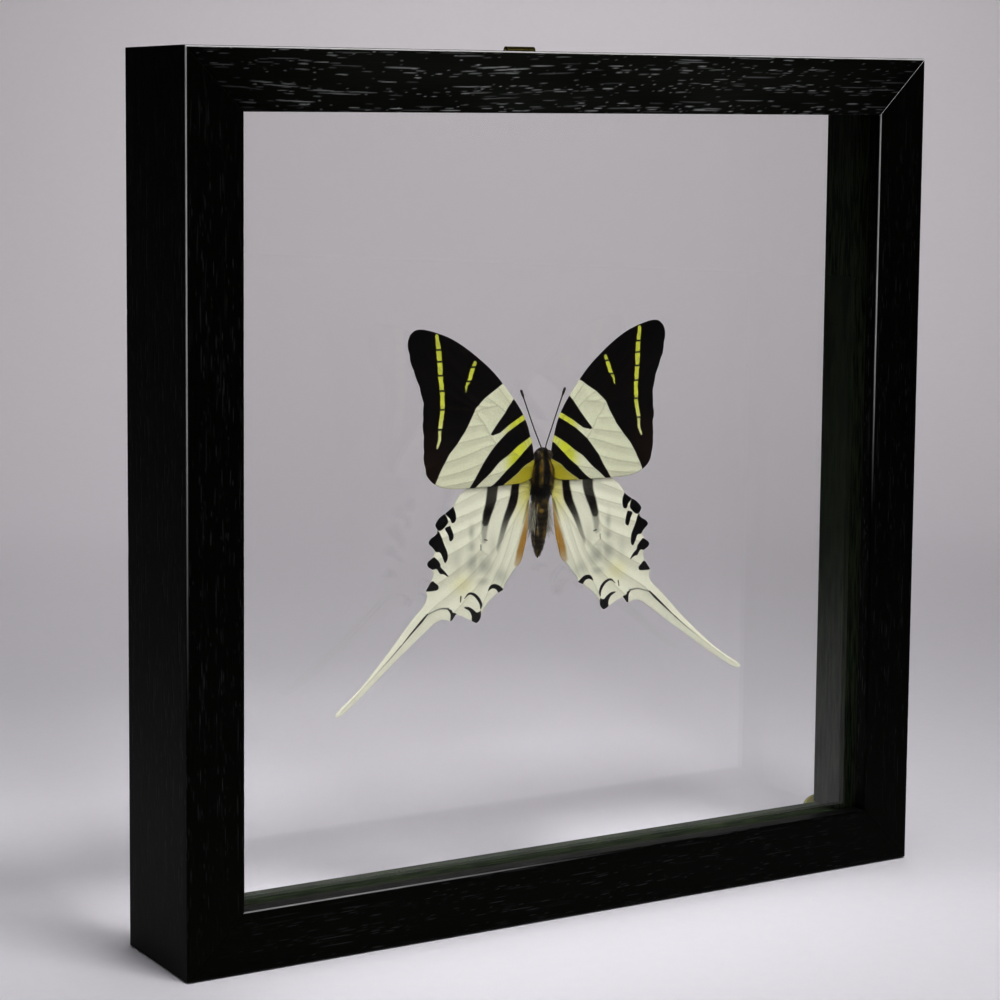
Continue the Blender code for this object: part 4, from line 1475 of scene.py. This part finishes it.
@dataclass
class Insect:
    """The body, eyes and antennae of the butterfly."""

    profile: tuple[Triple, ...] = (
        # height, radius, distance back
        (135.5, 0.5, 1.0), (135.1, 1.3, 1.0), (134.2, 1.7, 1.0), (133.0, 1.95, 1.1),
        (132.0, 2.15, 1.2), (130.6, 2.9, 1.3), (128.8, 3.3, 1.4), (126.8, 3.4, 1.5),
        (124.5, 3.2, 1.6), (122.4, 2.8, 1.8), (121.0, 2.5, 1.95), (118.5, 2.6, 2.15),
        (115.5, 2.6, 2.35), (112.0, 2.4, 2.55), (108.5, 2.1, 2.75), (106.0, 1.6, 2.9),
        (104.5, 1.05, 3.0), (103.2, 0.5, 3.1), (102.4, 0.1, 3.1),
    )
    segment: float = 1.75
    antenna: tuple[Triple, ...] = (
        # out, back, height
        (0.8, 0.2, 135.0), (1.0, 0.6, 136.2), (3.3, 0.9, 141.7), (5.5, 1.0, 147.3),
        (7.1, 1.0, 151.3), (7.7, 1.0, 152.8),
    )
    hairs: int = 5200
    hair_radius: float = 0.055
    hair_seed: int = 7
    fringe_hairs: int = 320             # counted in the hairs
    fringe_paleness: float = 0.95
    eye: Triple = (2.0, 0.6, 133.3)
    eye_radii: Triple = (1.05, 1.35, 1.4)
    fur: InsectFur = field(default_factory=InsectFur)
    cuticle: InsectCuticle = field(default_factory=InsectCuticle)

    def spine(self, height: Array) -> tuple[Array, Array]:
        """The body's radius and distance back at each height, by a smooth line."""
        heights, radii, places = smooth_line(np.array(self.profile))[::-1].T
        return np.interp(height, heights, radii), np.interp(height, heights, places)

    def colours(self, height: Array, angle: Array) -> dict[str, Array]:
        """Shares of gold and pale hair. The angle is 0 at the right and grows to the
        front at a quarter turn back."""
        front = np.sin(angle)
        side = np.abs(np.cos(angle))
        thorax = smoothstep(121.5, 124.0, height) * (1 - smoothstep(131.5, 133.0, height))
        mottle = 0.5 + 0.5 * drift(height / 1.6, angle * 2.0, 31)
        tufts = smoothstep(0.3, 0.42, side) * (1 - smoothstep(0.58, 0.74, side))
        tufts = tufts * smoothstep(123.5, 126.0, height)
        flanks = smoothstep(0.88, 0.98, side) * smoothstep(124.0, 126.5, height)
        rubbed_and_highlit = 0.3 + 0.7 * smoothstep(0.4, 0.6, mottle)
        gold = thorax * rubbed_and_highlit * np.maximum(tufts * (0.35 + 0.5 * (front < 0)), flanks * 0.6)
        gold = np.maximum(gold, 0.5 * smoothstep(0.3, 0.5, side) * np.exp(
            -((height - 133.6) / 0.8) ** 2
        ))
        abdomen = 1 - smoothstep(119.0, 121.5, height)
        band = 0.5 + 0.5 * np.cos(2 * math.pi * height / self.segment)
        pale = abdomen * smoothstep(0.84, 0.99, side) * 0.2
        pale = np.maximum(pale, abdomen * 0.03 * band**3)
        collar = np.exp(-((height - 120.9) / 0.8) ** 2) * 0.16 * rubbed_and_highlit
        brown = abdomen * (0.03 + 0.6 * smoothstep(0.5, 0.95, mottle) + 0.06 * band**2)
        return {"gold": np.maximum(gold, brown), "pale": np.maximum(pale, collar)}

    def skin(self) -> Surface:
        """The body: rings round the spine, which the abdomen's segments pinch a little."""
        height = np.linspace(135.45, 102.42, 190)[:, None]
        angle = full_turn(56)[None, :]
        radius, back = self.spine(height)
        abdomen = 1 - smoothstep(118.0, 121.0, height)
        pinch = 1 - 0.05 * abdomen * (0.5 + 0.5 * np.cos(2 * math.pi * height / self.segment))
        ripple = 1 + 0.02 * drift(height / 0.9, angle * 3.0, 5)
        reach = radius * pinch * ripple
        level = np.broadcast_to(height, reach.shape)
        rings = np.stack([
            BODY_X + reach * np.cos(angle), back + reach * np.sin(angle) * 0.92, level
        ], axis=-1)
        values = self.colours(level, np.broadcast_to(angle, reach.shape))
        return ring_surface(rings, Ends.POINTED, values)

    def hair(self) -> Surface:
        """Hairs as thin three-sided spindles.

        Each hair leaves the skin between outwards and backwards along the body and bends
        further back on its way. Its radius is a bell along its length, and its two ends
        are points. A pale fringe of longer hairs hangs from both sides of the abdomen.
        """
        rng = np.random.default_rng(self.hair_seed)
        count = self.hairs
        share = rng.random(count)
        height = np.where(
            share < 0.62, rng.uniform(120.0, 135.2, count), rng.uniform(103.2, 121.0, count)
        )
        angle = rng.uniform(0.0, 2 * math.pi, count)
        fringe = np.arange(count) < self.fringe_hairs
        height = np.where(fringe, rng.uniform(112.5, 120.0, count), height)
        sides = math.pi * (rng.random(count) < 0.5) + rng.normal(0.0, 0.35, count)
        angle = np.where(fringe, sides, angle)
        radius, back = self.spine(height)
        outward = np.stack([np.cos(angle), np.sin(angle), np.zeros(count)], axis=-1)
        root = np.stack([
            BODY_X + radius * 0.97 * outward[:, 0], back + radius * 0.9 * outward[:, 1], height
        ], axis=-1)
        thorax = smoothstep(119.0, 123.0, height)
        length = (0.55 + 1.0 * thorax) * rng.uniform(0.6, 1.25, count)
        length = np.where(height > 132.5, length * 0.7, length)
        length = np.where(fringe, rng.uniform(3.0, 6.5, count), length)
        lean = np.stack([
            rng.normal(0, 0.18, count), rng.normal(0, 0.18, count), np.full(count, -1.0)
        ], axis=-1)
        lift = (0.25 + 0.35 * thorax)[:, None]
        line = np.stack([
            root + length[:, None] * (
                t * lift * outward + (t * 0.8 + 0.25 * t * t) * lean * (1 - lift * 0.6)
            ) for t in np.linspace(0.0, 1.0, 4)
        ], axis=1)
        thick = self.hair_radius * rng.uniform(0.7, 1.2, count)[:, None] * np.array([1.0, 0.7])
        side = unit(np.cross(outward, UP))
        turn = full_turn(3)[:, None]
        spread = side[:, None, :] * np.cos(turn) + outward[:, None, :] * np.sin(turn)
        rings = line[:, 1:3, None, :] + spread[:, None] * thick[:, :, None, None]
        points = np.concatenate([line[:, :1], rings.reshape(count, 6, 3), line[:, 3:]], axis=1)
        base = (np.arange(count) * 8)[:, None, None]
        near = np.array([[0, 2, 1], [0, 3, 2], [0, 1, 3], [7, 4, 5], [7, 5, 6], [7, 6, 4]])
        walls = np.array([[1, 2, 5, 4], [2, 3, 6, 5], [3, 1, 4, 6]])
        values = self.colours(height, angle)
        values["gold"] = np.where(fringe, 0.0, values["gold"])
        values["pale"] = np.where(fringe, self.fringe_paleness, values["pale"])
        shift = rng.uniform(-0.25, 0.2, count)
        values = {
            name: np.repeat(np.clip(value * (1 + shift), 0, 1), 8)
            for name, value in values.items()
        }
        return Surface(
            points.reshape(-1, 3), (base + walls).reshape(-1, 4), (base + near).reshape(-1, 3),
            [], values,
        ).outward()

    def ball(self, centre: Triple, radii: Triple) -> Surface:
        """A spheroid, by its latitude and longitude."""
        latitude = np.linspace(-math.pi / 2 + 0.08, math.pi / 2 - 0.08, 24)[:, None]
        angle = full_turn(40)[None, :]
        directions = np.stack(np.broadcast_arrays(
            np.cos(latitude) * np.cos(angle), np.cos(latitude) * np.sin(angle), np.sin(latitude)
        ), axis=-1)
        return ring_surface(np.array(centre) + directions * radii, Ends.POINTED)

    def feeler(self, sign: float) -> Surface:
        """An antenna: round sections carried along a curved line, with a fine ripple for
        its joints, which swell to a club before the tip."""
        points = np.array(self.antenna) * (sign, 1.0, 1.0) + (BODY_X, 0.0, 0.0)
        share = np.linspace(0.0, 1.0, 150)
        line = along_line(smooth_line(points, 10), share)
        tangent = unit(np.gradient(line, axis=0))
        side = unit(np.cross(tangent, (0.0, 1.0, 0.0)))
        rise = np.cross(side, tangent)
        club = smoothstep(0.84, 0.93, share) * (1 - smoothstep(0.975, 1.005, share) * 0.9)
        radius = (0.17 + 0.2 * club) * (1 + 0.07 * np.sin(share * 300.0))
        radius = np.where(share < 0.02, 0.26, radius)
        turn = full_turn(10)[None, :, None]
        rings = line[:, None] + radius[:, None, None] * (
            side[:, None] * np.cos(turn) + rise[:, None] * np.sin(turn)
        )
        return ring_surface(rings, Ends.POINTED)

    def build(self) -> None:
        """Makes the body, its hair, the eyes and the antennae."""
        fur, cuticle = self.fur.material(), self.cuticle.material()
        make_piece("insect_body", self.skin(), fur, Slot.FUR, "butterfly_body")
        make_piece("body_hair", self.hair(), fur, Slot.FUR)
        out, back, high = self.eye
        eyes = [self.ball((BODY_X + sign * out, back, high), self.eye_radii) for _, sign in SIDES]
        make_piece("eyes", joined(eyes), cuticle, Slot.CUTICLE)
        for side, sign in SIDES:
            antenna = side + "_antenna"
            make_piece(side + "_feeler", self.feeler(sign), cuticle, Slot.CUTICLE, antenna)


@dataclass
class Butterfly:
    """The mounted butterfly and the clear post behind it."""

    forewing: Forewing = field(default_factory=Forewing)
    hindwing: Hindwing = field(default_factory=Hindwing)
    insect: Insect = field(default_factory=Insect)
    fore_finish: ForewingScales = field(default_factory=ForewingScales)
    hind_finish: HindwingScales = field(default_factory=HindwingScales)
    post_finish: ClearAcrylic = field(default_factory=ClearAcrylic)

    def post(self) -> Surface:
        """A clear rod with a fillet of cement at each end: rings whose radius grows as a
        steep power of the distance from the middle."""
        low, high = packed_box("support_post")
        centre, radius = (low + high) / 2, (high[0] - low[0]) / 2
        share = np.linspace(-1.0, 1.0, 40)[:, None]
        reach = radius * (0.8 + 0.2 * np.abs(share) ** 14)
        back = centre[1] + share * (high[1] - low[1]) / 2
        return ring_surface(round_rings(centre, reach, back, full_turn(48)[None, :]), Ends.FLAT)

    def build(self) -> None:
        """Makes the wings, the insect and the post."""
        pairs = (
            ("_upper_wing", self.forewing, self.fore_finish.material(), Slot.FOREWING, "_forewing"),
            ("_tailed_wing", self.hindwing, self.hind_finish.material(), Slot.HINDWING, "_hindwing"),
        )
        for side, sign in SIDES:
            for title, wing, material, slot, node in pairs:
                make_piece(side + title, wing.surface(sign), material, slot, side + node)
        self.insect.build()
        clear = self.post_finish.material()
        make_piece("clear_post", self.post(), clear, Slot.ACRYLIC, "support_post")


# ---------------------------------------------------------------- studio


@dataclass(frozen=True)
class Lamp:
    """A soft box: its place and aim in millimetres, its size, power and colour."""

    name: str
    place: Triple
    aim: Triple
    width: float
    height: float
    watts: float
    spread: float = 180.0
    colour: str = "#ffffff"

    def build(self) -> None:
        """Adds the lamp to the scene."""
        data = bpy.data.lights.new(self.name, "AREA")
        data.shape = "RECTANGLE"
        data.spread = math.radians(self.spread)
        data.size = self.width * MM
        data.size_y = self.height * MM
        data.energy = self.watts
        data.color = linear(self.colour)[:3]
        lamp = add_object(self.name, data)
        lamp.location = Vector(self.place) * MM
        beam = Vector(self.aim) - Vector(self.place)
        lamp.rotation_euler = beam.to_track_quat("-Z", "Y").to_euler()


@dataclass
class Studio:
    """The paper sweep, the lamps and the camera."""

    camera_place: Triple = (-416.01, -633.08, 231.51)
    yaw: float = 29.648
    pitch: float = -5.773
    roll: float = 0.249
    lens: float = 93.607
    shift: Pair = (0.12, -0.12)
    paper: StudioPaper = field(default_factory=StudioPaper)
    floor_front: float = 3500.0
    floor_back: float = 700.0
    sweep_radius: float = 500.0
    wall_height: float = 1400.0
    width: float = 6000.0
    gap: float = 0.3
    world: str = "#b9b8bf"
    world_strength: float = 0.03
    grade: float = 0.82
    lamps: tuple[Lamp, ...] = (
        Lamp("key_box", (50.0, -470.0, 1380.0), (30.0, -40.0, 0.0), 320.0, 320.0, 0.86, 50.0),
        Lamp("overhead_box", (100.0, 0.0, 1400.0), (100.0, 0.0, 0.0), 400.0, 400.0, 0.18, 50.0),
        Lamp("backdrop_box", (500.0, 480.0, 1500.0), (690.0, 1130.0, 450.0), 1000.0, 400.0, 4.4,
             100.0, "#fffdf9"),
        Lamp("sweep_box", (400.0, 500.0, 1300.0), (450.0, 800.0, 0.0), 900.0, 300.0, 0.6, 90.0),
        Lamp("front_box", (-400.0, -1300.0, 1100.0), (0.0, 60.0, 120.0), 300.0, 300.0, 0.095, 26.0),
        Lamp("gloss_box", (640.0, -950.0, 560.0), (0.0, 0.0, 220.0), 500.0, 300.0, 0.1, 40.0),
        Lamp("fill_box", (-500.0, -300.0, 1300.0), (-220.0, 0.0, 0.0), 300.0, 300.0, 0.1, 30.0),
    )

    def sweep(self) -> None:
        """The paper: flat, then a quarter circle, then upright, the same across its width,
        turned to face the camera."""
        angle = np.linspace(0.0, math.pi / 2, 33)
        radius = self.sweep_radius
        profile = np.concatenate([
            np.stack([np.linspace(-self.floor_front, self.floor_back, 20), np.zeros(20)], axis=1),
            np.stack([self.floor_back + radius * np.sin(angle), radius * (1 - np.cos(angle))],
                     axis=1)[1:],
            [[self.floor_back + radius, radius + self.wall_height]],
        ])
        side = np.linspace(-self.width / 2, self.width / 2, 9)
        x, y = np.meshgrid(side, profile[:, 0], indexing="ij")
        z = np.broadcast_to(profile[:, 1], x.shape) - self.gap
        turn = -math.radians(self.yaw)
        points = np.stack([
            x * math.cos(turn) - y * math.sin(turn), x * math.sin(turn) + y * math.cos(turn), z
        ], axis=-1).reshape(-1, 3)
        index = np.arange(len(points)).reshape(x.shape)
        quads = np.stack(
            [index[:-1, :-1], index[1:, :-1], index[1:, 1:], index[:-1, 1:]], axis=-1
        ).reshape(-1, 4)
        mesh = bpy.data.meshes.new("paper_sweep")
        mesh.from_pydata((points * MM).tolist(), [], quads.tolist())
        mesh.shade_smooth()
        mesh.materials.append(self.paper.material())
        paper = add_object("paper_sweep", mesh)

    def camera(self) -> None:
        """The camera, a little left of the frame and level with its top."""
        data = bpy.data.cameras.new("camera")
        data.lens = self.lens
        data.shift_x, data.shift_y = self.shift
        camera = add_object("camera", data)
        aim = Euler((math.radians(90 + self.pitch), 0.0, -math.radians(self.yaw))).to_matrix()
        turned = aim @ Matrix.Rotation(math.radians(self.roll), 3, "Z")
        camera.matrix_world = Matrix.Translation(Vector(self.camera_place) * MM) @ turned.to_4x4()
        bpy.context.scene.camera = camera

    def build(self) -> None:
        """Sets up the paper, lamps, surroundings and camera."""
        self.sweep()
        for lamp in self.lamps:
            lamp.build()
        world = bpy.data.worlds.new("studio")
        world.use_nodes = True
        background = world.node_tree.nodes["Background"]
        background.inputs["Color"].default_value = linear(self.world)
        background.inputs["Strength"].default_value = self.world_strength
        bpy.context.scene.world = world
        view = bpy.context.scene.view_settings
        view.view_transform, view.gamma = "Standard", self.grade
        self.camera()


def corners(bounds: object) -> list[list[float]]:
    """A box's two corners as plain lists."""
    return [[float(number) for number in corner] for corner in bounds]


def main() -> None:
    """Builds every sub-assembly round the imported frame."""
    logging.basicConfig(level=logging.INFO, format="%(name)s: %(message)s")
    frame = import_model()
    glazing = Glazing()
    glazing.dress(frame["nodes"])
    glazing.build()
    Moulding().build()
    Hanger().build()
    Butterfly().build()
    Studio().build()


if __name__ == "__main__":
    main()
